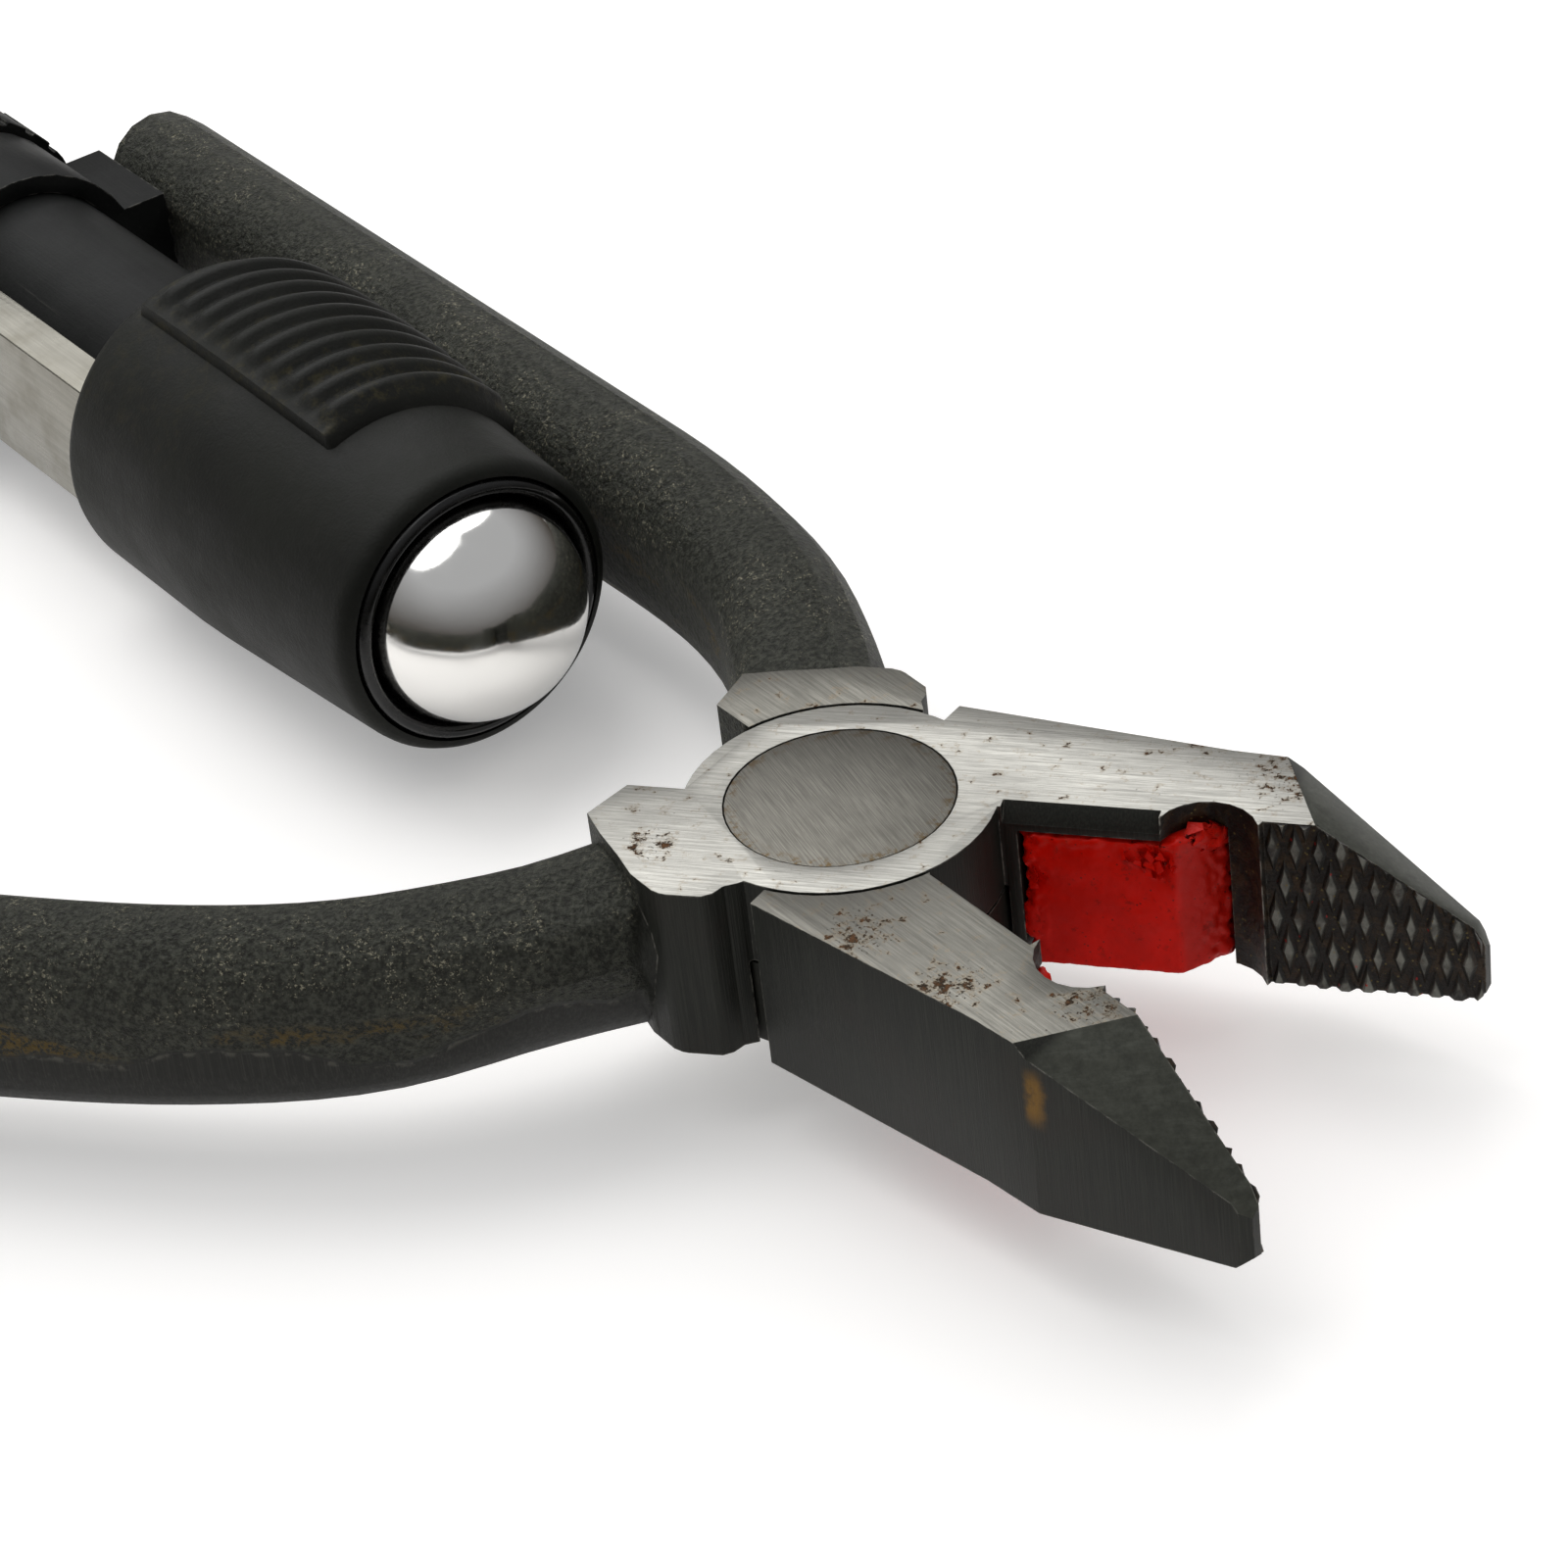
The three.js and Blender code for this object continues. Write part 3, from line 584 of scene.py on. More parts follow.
        # Painted highlight: pale specks, kept to the upper part of the handle, stand in for light catching
        # the forged grain.
        painted_glint_mask = g.step(g.noise(place, 4.2, 3.0, 0.8), 0.55, 0.66)
        region = g.all(g.step(g.noise(place, 0.13, 3.0), 0.42, 0.58), g.step(mottle, 0.42, 0.56))
        skin = g.mix(g.all(painted_glint_mask, region, g.step(z, -8.5, -4.5)), skin, self.painted_glint)
        low = g.coords(self.turn, (0.3, 1.0, 1.0))
        warm = g.all(
            g.step(g.noise(low, 0.22, 4.0, 0.6), 0.54, 0.64), g.step(grain, 0.44, 0.56), g.step(z, -4.8, -6.6)
        )
        skin = g.mix(g.all(warm, 0.85), skin, self.warm_patch)
        waver = g.math("MULTIPLY", g.math("SUBTRACT", g.noise(place, 0.11, 2.0), 0.5), 5.0)
        level = g.math("ADD", z, waver)
        band = g.all(behind, g.step(facing, -0.42, -0.62), g.step(level, -7.9, -8.3))
        bare = g.mix(g.step(lines, 0.42, 0.80), self.band_dark, self.band_pale)
        bare = g.mix(nicks, bare, self.band_nick)
        rim = g.all(band, g.step(level, -8.7, -8.3), g.step(mottle, 0.48, 0.60))
        bare = g.mix(g.all(rim, 0.5), bare, self.band_rim)
        return g.mix(band, skin, bare), band


@dataclass(frozen=True)
class BrushedDisc(Finish):
    """Ground rivet face, brushed one way, a little darker than the jaws."""

    colour: Colour = (0.155, 0.148, 0.129)
    stained: Colour = (0.085, 0.060, 0.032)
    pitted: Colour = (0.06, 0.05, 0.04)

    def paint(self, graph: Graph) -> None:
        """Fill in the graph of the finish.

        Args:
            graph: its graph.
        """
        g = graph
        place = g.coords()
        lines = g.noise(g.coords(12.0, (0.3, 13.0, 13.0)), 1.0, 4.0, 0.65)
        cloud = g.noise(place, 0.35, 4.0, 0.6)
        colour = g.mix(g.step(lines, 0.34, 0.66), tuple(c * 0.55 for c in self.colour), self.colour)
        colour = g.mix(g.all(g.step(cloud, 0.45, 0.7), 0.4), colour, tuple(c * 0.6 for c in self.colour))
        x, y, _ = g.split(place)
        reach = g.math("SQRT", g.math("ADD", g.math("MULTIPLY", x, x), g.math("MULTIPLY", y, y)))
        stain = g.all(g.step(reach, 5.9, 6.8), g.step(g.noise(place, 1.5, 5.0, 0.7), 0.48, 0.62))
        colour = g.mix(stain, colour, self.stained)
        pits = g.step(g.noise(place, 4.5, 3.0, 0.7), 0.70, 0.75)
        colour = g.mix(pits, colour, self.pitted)
        g.set(Base_Color=colour, Metallic=1.0, Roughness=g.blend(lines, 0.46, 0.32))
        g.bump((lines, 0.012))


@dataclass(frozen=True)
class GripSteel(Finish):
    """Cross-cut teeth: dark steel, worn grey on their crests, packed with grime."""

    turn: float = 0.0
    hand: float = 1.0
    crest: Colour = (0.135, 0.135, 0.118)
    flank: Colour = (0.0075, 0.0062, 0.0045)
    brown_dirt: Colour = (0.026, 0.015, 0.006)
    red_crumb: Colour = (0.30, 0.008, 0.006)
    yellow_crumb: Colour = (0.15, 0.10, 0.012)

    def paint(self, graph: Graph) -> None:
        """Fill in the graph of the finish.

        Args:
            graph: its graph.
        """
        g = graph
        place = g.coords(self.turn)
        _, y, _ = g.split(place)
        out_y = g.math("MULTIPLY", y, self.hand)
        mottle = g.noise(place, 1.1, 5.0, 0.7)
        crest = g.all(g.step(out_y, 0.40, 0.30), g.step(g.noise(place, 0.7, 4.0, 0.6), 0.30, 0.60))
        colour = g.mix(g.step(mottle, 0.45, 0.65), self.flank, self.brown_dirt)
        colour = g.mix(crest, colour, self.crest)
        crumbs = g.all(g.specks(place, 1.2, 0.16), g.step(g.noise(place, 0.4, 2.0), 0.5, 0.6))
        colour = g.mix(crumbs, colour, self.red_crumb)
        yellow = g.all(g.specks(place, 1.9, 0.18), g.step(g.noise(place, 0.3, 2.0), 0.45, 0.6))
        colour = g.mix(yellow, colour, self.yellow_crumb)
        g.set(
            Base_Color=colour,
            Metallic=g.blend(crest, 0.2, 0.8),
            Roughness=g.blend(mottle, 0.30, 0.52),
            Specular_IOR_Level=0.35,
        )
        g.bump((g.noise(place, 5.0, 4.0, 0.7), 0.05))


@dataclass(frozen=True)
class TornRubber(Finish):
    """Bright red moulded pad, smeared and dusted with dark crumbs, with pale painted highlights on its upper
    part.
    """

    turn: float = 0.0
    colour: Colour = (0.78, 0.0075, 0.0015)
    worn: Colour = (0.46, 0.012, 0.006)
    # Pale red painted as highlights on the pad's top.
    painted_highlight: Colour = (0.62, 0.055, 0.035)
    dusted: Colour = (0.13, 0.008, 0.005)
    crumb: Colour = (0.022, 0.006, 0.004)

    def paint(self, graph: Graph) -> None:
        """Fill in the graph of the finish.

        Args:
            graph: its graph.
        """
        g = graph
        place = g.coords(self.turn)
        cloud = g.noise(place, 0.35, 4.0, 0.6)
        mottle = g.noise(place, 1.8, 5.0, 0.65)
        colour = g.mix(g.step(cloud, 0.35, 0.65), tuple(c * 0.82 for c in self.colour), self.colour)
        x, _, z = g.split(place)
        far = g.step(x, 19.9, 20.6)
        colour = g.mix(g.all(far, 0.55), colour, self.worn)
        # Painted highlight: paler red on the upper part of the pad, standing in for light on its top.
        pale = g.all(g.step(z, -3.4, -2.2), g.step(mottle, 0.50, 0.66))
        colour = g.mix(g.all(pale, 0.35), colour, self.painted_highlight)
        dust = g.all(g.step(g.noise(place, 0.9, 5.0, 0.75), 0.56, 0.70), 0.55)
        colour = g.mix(dust, colour, self.dusted)
        crumbs = g.all(g.specks(place, 2.1, 0.17), g.step(cloud, 0.42, 0.6))
        colour = g.mix(crumbs, colour, self.crumb)
        g.set(
            Base_Color=colour,
            Roughness=g.blend(g.step(mottle, 0.35, 0.65), 0.30, 0.52),
            Specular_IOR_Level=0.15,
        )
        g.bump((mottle, 0.035), (g.noise(place, 6.0, 3.0, 0.6), 0.012))


@dataclass(frozen=True)
class Moulded(Finish):
    """Matt black moulding, faintly cloudy, with greenish dust where a mask says."""

    colour: Colour = (0.0062, 0.0066, 0.0050)
    dusty: float = 1.0
    smudged: Colour = (0.019, 0.0185, 0.0150)
    dusted: Colour = (0.036, 0.031, 0.013)

    def paint(self, graph: Graph) -> None:
        """Fill in the graph of the finish.

        Args:
            graph: its graph.
        """
        g = graph
        place = g.coords()
        cloud = g.noise(place, 0.09, 4.0, 0.6)
        grain = g.noise(place, 4.5, 4.0, 0.6)
        colour = g.mix(g.step(cloud, 0.35, 0.68), self.colour, tuple(c * 1.75 for c in self.colour))
        smudge = g.all(g.step(g.noise(place, 0.5, 5.0, 0.7), 0.52, 0.72), 0.30)
        colour = g.mix(smudge, colour, self.smudged)
        _, y, z = g.split(place)
        up = g.math("SUBTRACT", z, AXIS_Z)
        reach = g.math("SQRT", g.math("ADD", g.math("MULTIPLY", y, y), g.math("MULTIPLY", up, up)))
        low = g.all(g.step(reach, 12.9, 12.5), g.step(reach, 11.5, 12.0), g.step(up, 5.0, 7.0))
        dust = g.all(low, g.step(g.noise(place, 0.8, 5.0, 0.75), 0.47, 0.68), self.dusty)
        colour = g.mix(g.all(dust, 0.75), colour, self.dusted)
        g.set(
            Base_Color=colour,
            Roughness=g.blend(g.step(cloud, 0.3, 0.7), 0.52, 0.68),
            Specular_IOR_Level=0.18,
        )
        g.bump((grain, 0.035), (g.noise(place, 0.7, 3.0), 0.05))


@dataclass(frozen=True)
class Lacquer(Finish):
    """Glossy black, lightly marked."""

    colour: Colour = (0.004, 0.004, 0.0038)
    marked: Colour = (0.012, 0.0115, 0.0095)

    def paint(self, graph: Graph) -> None:
        """Fill in the graph of the finish.

        Args:
            graph: its graph.
        """
        g = graph
        place = g.coords()
        marks = g.noise(place, 0.8, 5.0, 0.7)
        g.set(
            Base_Color=g.mix(g.step(marks, 0.55, 0.72), self.colour, self.marked),
            Roughness=g.blend(g.step(marks, 0.4, 0.7), 0.20, 0.38),
            Specular_IOR_Level=0.35,
        )
        g.bump((g.noise(place, 0.5, 2.0), 0.02))


@dataclass(frozen=True)
class MirrorSteel(Finish):
    """Mirror polish with shallow dents and a few fine scratches."""

    colour: Colour = (0.80, 0.79, 0.765)
    scratched: Colour = (0.45, 0.44, 0.42)

    def paint(self, graph: Graph) -> None:
        """Fill in the graph of the finish.

        Args:
            graph: its graph.
        """
        g = graph
        place = g.coords()
        dents = g.noise(place, 0.15, 1.0, 0.4)
        haze = g.step(g.noise(place, 0.5, 4.0, 0.6), 0.42, 0.72)
        scratch = g.step(g.noise(g.coords(0.0, (1.2, 7.0, 1.2)), 0.9, 3.0, 0.8), 0.70, 0.75)
        colour = g.mix(g.all(scratch, 0.5), self.colour, self.scratched)
        g.set(Base_Color=colour, Metallic=1.0, Roughness=g.blend(haze, 0.10, 0.19))
        g.bump((dents, 0.22), (g.noise(place, 0.9, 3.0, 0.5), 0.006))


@dataclass(frozen=True)
class Plate(Finish):
    """Zinc-plated steel: pale, faintly yellow, drawn along X, dull in patches."""

    colour: Colour = (0.235, 0.226, 0.194)
    rough: float = 0.27
    clouded: Colour = (0.19, 0.178, 0.142)
    stained: Colour = (0.16, 0.13, 0.09)

    def paint(self, graph: Graph) -> None:
        """Fill in the graph of the finish.

        Args:
            graph: its graph.
        """
        g = graph
        place = g.coords()
        drawn = g.noise(g.coords(0.0, (0.12, 5.0, 5.0)), 1.0, 4.0, 0.6)
        cloud = g.noise(place, 0.3, 4.0, 0.6)
        colour = g.mix(g.step(drawn, 0.3, 0.7), tuple(c * 0.80 for c in self.colour), self.colour)
        colour = g.mix(g.all(g.step(cloud, 0.45, 0.72), 0.5), colour, self.clouded)
        stain = g.step(g.noise(place, 1.2, 5.0, 0.72), 0.67, 0.72)
        colour = g.mix(g.all(stain, 0.7), colour, self.stained)
        dull = g.step(cloud, 0.35, 0.7)
        g.set(Base_Color=colour, Metallic=1.0, Roughness=g.blend(dull, self.rough, self.rough + 0.16))
        g.bump((drawn, 0.012), (g.noise(place, 2.5, 3.0), 0.012))


@dataclass(frozen=True)
class DarkOxide(Finish):
    """Blued or oxide-blacked steel with rubbed edges and long faint scratches."""

    colour: Colour = (0.0062, 0.0066, 0.0062)
    rubbed: Colour = (0.17, 0.165, 0.145)
    scratched: Colour = (0.040, 0.039, 0.035)

    def paint(self, graph: Graph) -> None:
        """Fill in the graph of the finish.

        Args:
            graph: its graph.
        """
        g = graph
        place = g.coords()
        drawn = g.noise(g.coords(0.0, (0.10, 4.0, 4.0)), 1.0, 4.0, 0.65)
        cloud = g.noise(place, 0.2, 4.0, 0.6)
        colour = g.mix(g.step(cloud, 0.35, 0.7), self.colour, tuple(c * 1.6 for c in self.colour))
        colour = g.mix(g.all(g.step(drawn, 0.62, 0.75), 0.5), colour, self.scratched)
        worn = g.all(g.edges(0.25), g.step(g.noise(place, 1.2, 3.0), 0.40, 0.62))
        colour = g.mix(g.all(worn, 0.8), colour, self.rubbed)
        g.set(
            Base_Color=colour,
            Metallic=0.1,
            Roughness=g.blend(drawn, 0.46, 0.60),
            Specular_IOR_Level=0.12,
        )
        g.bump((drawn, 0.012), (g.noise(place, 3.0, 3.0), 0.015))


@dataclass(frozen=True)
class Turned(Finish):
    """Turned metal with fine rings, tarnished in places."""

    colour: Colour = (0.55, 0.36, 0.14)
    tarnish: Colour = (0.20, 0.12, 0.05)

    def paint(self, graph: Graph) -> None:
        """Fill in the graph of the finish.

        Args:
            graph: its graph.
        """
        g = graph
        place = g.coords()
        rings = g.noise(g.coords(0.0, (9.0, 0.2, 0.2)), 1.0, 3.0, 0.6)
        cloud = g.noise(place, 0.6, 4.0, 0.65)
        colour = g.mix(g.step(rings, 0.35, 0.65), tuple(c * 0.82 for c in self.colour), self.colour)
        colour = g.mix(g.all(g.step(cloud, 0.48, 0.70), 0.7), colour, self.tarnish)
        g.set(Base_Color=colour, Metallic=1.0, Roughness=g.blend(cloud, 0.24, 0.46))
        g.bump((rings, 0.01))


# One ground steel on both halves: the fixed half's darker ground colour is painted shade and the swing half's
# lighter one a painted highlight, for how each brushed top catches the light.
FIXED_STEEL = HalfSteel(
    "fixed_half_steel", Slot.FORGED, 0.0, -1.0, (0.205, 0.198, 0.174),
    rusty=(
        ((11.5, -7.0, 0.0), 3.5), ((26.0, -2.0, 0.0), 3.2), ((19.0, -6.5, 0.0), 3.5),
        ((-9.5, -4.0, 0.0), 3.5),
    ),
)
SWING_STEEL = HalfSteel(
    "swing_half_steel", Slot.FORGED, -OPEN_DEG, 1.0, (0.41, 0.402, 0.368),
    rusty=(((20.5, 9.5, 0.0), 4.5), ((26.5, 5.5, 0.0), 4.5), ((-10.0, -6.0, 0.0), 2.6)),
)
RIVET_STEEL = BrushedDisc("rivet_ground_steel", Slot.GROUND)
FIXED_GRIP = GripSteel("fixed_grip_steel", Slot.FORGED, 0.0, -1.0)
SWING_GRIP = GripSteel("swing_grip_steel", Slot.FORGED, -OPEN_DEG, 1.0)
FIXED_RUBBER = TornRubber("fixed_pad_rubber", Slot.RUBBER, 0.0)
SWING_RUBBER = TornRubber("swing_pad_rubber", Slot.RUBBER, -OPEN_DEG)
SLEEVE_PLASTIC = Moulded("sleeve_plastic", Slot.MOULDED)
KNOB_PLASTIC = Moulded("knob_plastic", Slot.MOULDED, dusty=0.0)
GLOSS_BLACK = Lacquer("gloss_black_lip", Slot.GLOSS)
SEAL_RUBBER = Lacquer("seal_rubber", Slot.SEAL, (0.012, 0.012, 0.012))
DOME_MIRROR = MirrorSteel("dome_mirror", Slot.POLISHED)
ZINC_PLATE = Plate("zinc_plate", Slot.PLATED)
BARREL_OXIDE = DarkOxide("barrel_oxide", Slot.BLUED)
TURNED_BRONZE = Turned("turned_bronze", Slot.BRONZE)
SPRING_WIRE = Turned("spring_wire", Slot.SPRING, (0.50, 0.50, 0.49), (0.20, 0.18, 0.16))


# ------------------------------------------------------------------ bench work
def focus(piece: bpy.types.Object) -> None:
    """Select one object alone and make it active.

    Args:
        piece: the object.
    """
    bpy.ops.object.select_all(action="DESELECT")
    piece.select_set(True)
    bpy.context.view_layer.objects.active = piece


@contextmanager
def editing(piece: bpy.types.Object) -> Iterator[None]:
    """Edit mode with everything selected, for the length of a with block.

    Args:
        piece: the object to edit.

    Yields:
        Nothing.
    """
    focus(piece)
    bpy.ops.object.mode_set(mode="EDIT")
    bpy.ops.mesh.select_mode(type="VERT")
    bpy.ops.mesh.select_all(action="SELECT")
    try:
        yield
    finally:
        bpy.ops.object.mode_set(mode="OBJECT")


def modify(piece: bpy.types.Object, kind: str, **settings: object) -> None:
    """Add a modifier with settings and apply it.

    Args:
        piece: the object.
        kind: modifier type.
        settings: modifier attributes.
    """
    focus(piece)
    modifier = piece.modifiers.new(kind.title(), kind)
    for name, value in settings.items():
        setattr(modifier, name, value)
    bpy.ops.object.modifier_apply(modifier=modifier.name)


def smooth(piece: bpy.types.Object, degrees: float = 32.0) -> None:
    """Shade smooth, apart from sharp edges.

    Args:
        piece: the object.
        degrees: edges where faces meet at more than this stay sharp.
    """
    focus(piece)
    bpy.ops.object.shade_smooth_by_angle(angle=math.radians(degrees))


def copy_of(node: str, name: str, flat_deg: float = 0.6) -> bpy.types.Object:
    """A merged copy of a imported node, with its flat faces joined.

    Args:
        node: node to copy.
        name: name of the copy.
        flat_deg: faces closer than this to one plane are joined.

    Returns:
        The new object.
    """
    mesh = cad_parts[node].data.copy()
    mesh.materials.clear()
    piece = bpy.data.objects.new(name, mesh)
    bpy.context.scene.collection.objects.link(piece)
    if mesh.has_custom_normals:
        focus(piece)
        bpy.ops.mesh.customdata_custom_splitnormals_clear()
    with editing(piece):
        bpy.ops.mesh.remove_doubles(threshold=2e-6)
        bpy.ops.mesh.dissolve_limited(angle_limit=math.radians(flat_deg))
    return piece


def bevelled(node: str, name: str, width: float, segments: int = 2, limit: float = 28.0) -> bpy.types.Object:
    """A merged copy of a node with its edges broken.

    Args:
        node: node to copy.
        name: name of the copy.
        width: bevel width, mm.
        segments: bevel segments.
        limit: edges sharper than this many degrees are broken.

    Returns:
        The new object.
    """
    piece = copy_of(node, name)
    modify(
        piece, "BEVEL", width=width * MM, segments=segments, limit_method="ANGLE",
        angle_limit=math.radians(limit), use_clamp_overlap=True, miter_outer="MITER_ARC",
    )
    smooth(piece)
    return piece


def spun(
    name: str, profile: Sequence[Pair], steps: int = 96, arc: float = 360.0, start: float = 0.0
) -> bpy.types.Object:
    """A closed shape turned about the barrel's axis.

    Args:
        name: name of the object.
        profile: closed outline or axis-to-axis line of (x, radius), mm.
        steps: steps of the turn.
        arc: degrees turned, from +Z towards +Y.
        start: first angle, degrees from +Z towards +Y.

    Returns:
        The new object.
    """
    bpy.ops.object.select_all(action="DESELECT")
    bpy.ops.mesh.primitive_plane_add(size=MM)
    piece = bpy.context.active_object
    piece.name = name
    tilt = math.radians(start)
    points = [Vector((x, r * math.sin(tilt), AXIS_Z + r * math.cos(tilt))) * MM for x, r in profile]
    with editing(piece):
        bpy.ops.mesh.merge(type="CENTER")
        bpy.ops.transform.translate(value=points[0])
        for here, there in zip(points, points[1:]):
            bpy.ops.mesh.extrude_region_move(TRANSFORM_OT_translate={"value": there - here})
        bpy.ops.mesh.select_all(action="SELECT")
        bpy.ops.mesh.remove_doubles(threshold=1e-6)
        bpy.ops.mesh.spin(
            steps=steps, angle=math.radians(arc), center=(0.0, 0.0, AXIS_Z * MM), axis=(1.0, 0.0, 0.0)
        )
        bpy.ops.mesh.select_all(action="SELECT")
        bpy.ops.mesh.remove_doubles(threshold=2e-6)
        if arc < 360.0:
            bpy.ops.mesh.fill_holes(sides=0)
            bpy.ops.mesh.select_all(action="SELECT")
        bpy.ops.mesh.normals_make_consistent(inside=False)
    return piece


def joined(name: str, parts: Sequence[bpy.types.Object]) -> bpy.types.Object:
    """Join parts into one object.

    Args:
        name: its name.
        parts: the parts.

    Returns:
        The joined object.
    """
    focus(parts[0])
    for part in parts[1:]:
        part.select_set(True)
    if len(parts) > 1:
        bpy.ops.object.join()
    parts[0].name = name
    return parts[0]


def reshape(piece: bpy.types.Object, move: Callable[[Vector, Vector], Vector]) -> None:
    """Move every vertex, in millimetres.

    Args:
        piece: the object.
        move: takes a vertex's place and normal and returns its new place.
    """
    for vertex in piece.data.vertices:
        vertex.co = move(vertex.co / MM, vertex.normal) * MM
    piece.data.update()


def hand_over(
    piece: bpy.types.Object, finish: Finish, body: Body, replaced: Sequence[str] = ()
) -> bpy.types.Object:
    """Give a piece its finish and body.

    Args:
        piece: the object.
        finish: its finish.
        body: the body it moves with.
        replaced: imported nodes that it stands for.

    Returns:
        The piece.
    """
    piece.data.materials.clear()
    piece.data.materials.append(finish.material())
    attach(piece, body.value)
    if replaced:
        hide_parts(*replaced)
    LOG.info("%s: %d faces on %s", piece.name, len(piece.data.polygons), body.value)
    return piece


def dress_node(node: str, finish: Finish) -> None:
    """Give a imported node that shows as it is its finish.

    Args:
        node: the node.
        finish: its finish.
    """
    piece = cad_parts[node]
    piece.data.materials.clear()
    piece.data.materials.append(finish.material())
    LOG.info("%s: dressed as %s", node, finish.name)


def around_axis(place: Vector, radius: float) -> Vector:
    """Move a place straight out from the barrel's axis, or in towards it.

    Args:
        place: the place, mm.
        radius: how far from the axis it ends, mm.

    Returns:
        The new place, mm.
    """
    up = place.z - AXIS_Z
    scale = radius / math.hypot(place.y, up)
    return Vector((place.x, place.y * scale, AXIS_Z + up * scale))


def quarter(centre: Pair, reach: Pair, steps: int, rising: bool) -> list[Pair]:
    """Quarter round of a turned profile.

    Args:
        centre: its centre (x, radius), mm.
        reach: how far it reaches along the axis and away from it, mm.
        steps: steps of the quarter.
        rising: whether it climbs towards +X, from its rear end, or falls.

    Returns:
        Its points, towards +X.
    """
    (x, r), (along, out) = centre, reach
    angles = [math.pi / 2 * i / steps for i in range(steps + 1)]
    if rising:
        return [(x - along * math.cos(a), r + out * math.sin(a)) for a in angles]
    return [(x + along * math.sin(a), r + out * math.cos(a)) for a in angles]


# ------------------------------------------------------------------ pliers halves
@dataclass(frozen=True)
class Lump:
    """A soft rise or, with a negative height, a dent: mm in the half's own axes."""

    centre: Point
    radius: float
    height: float


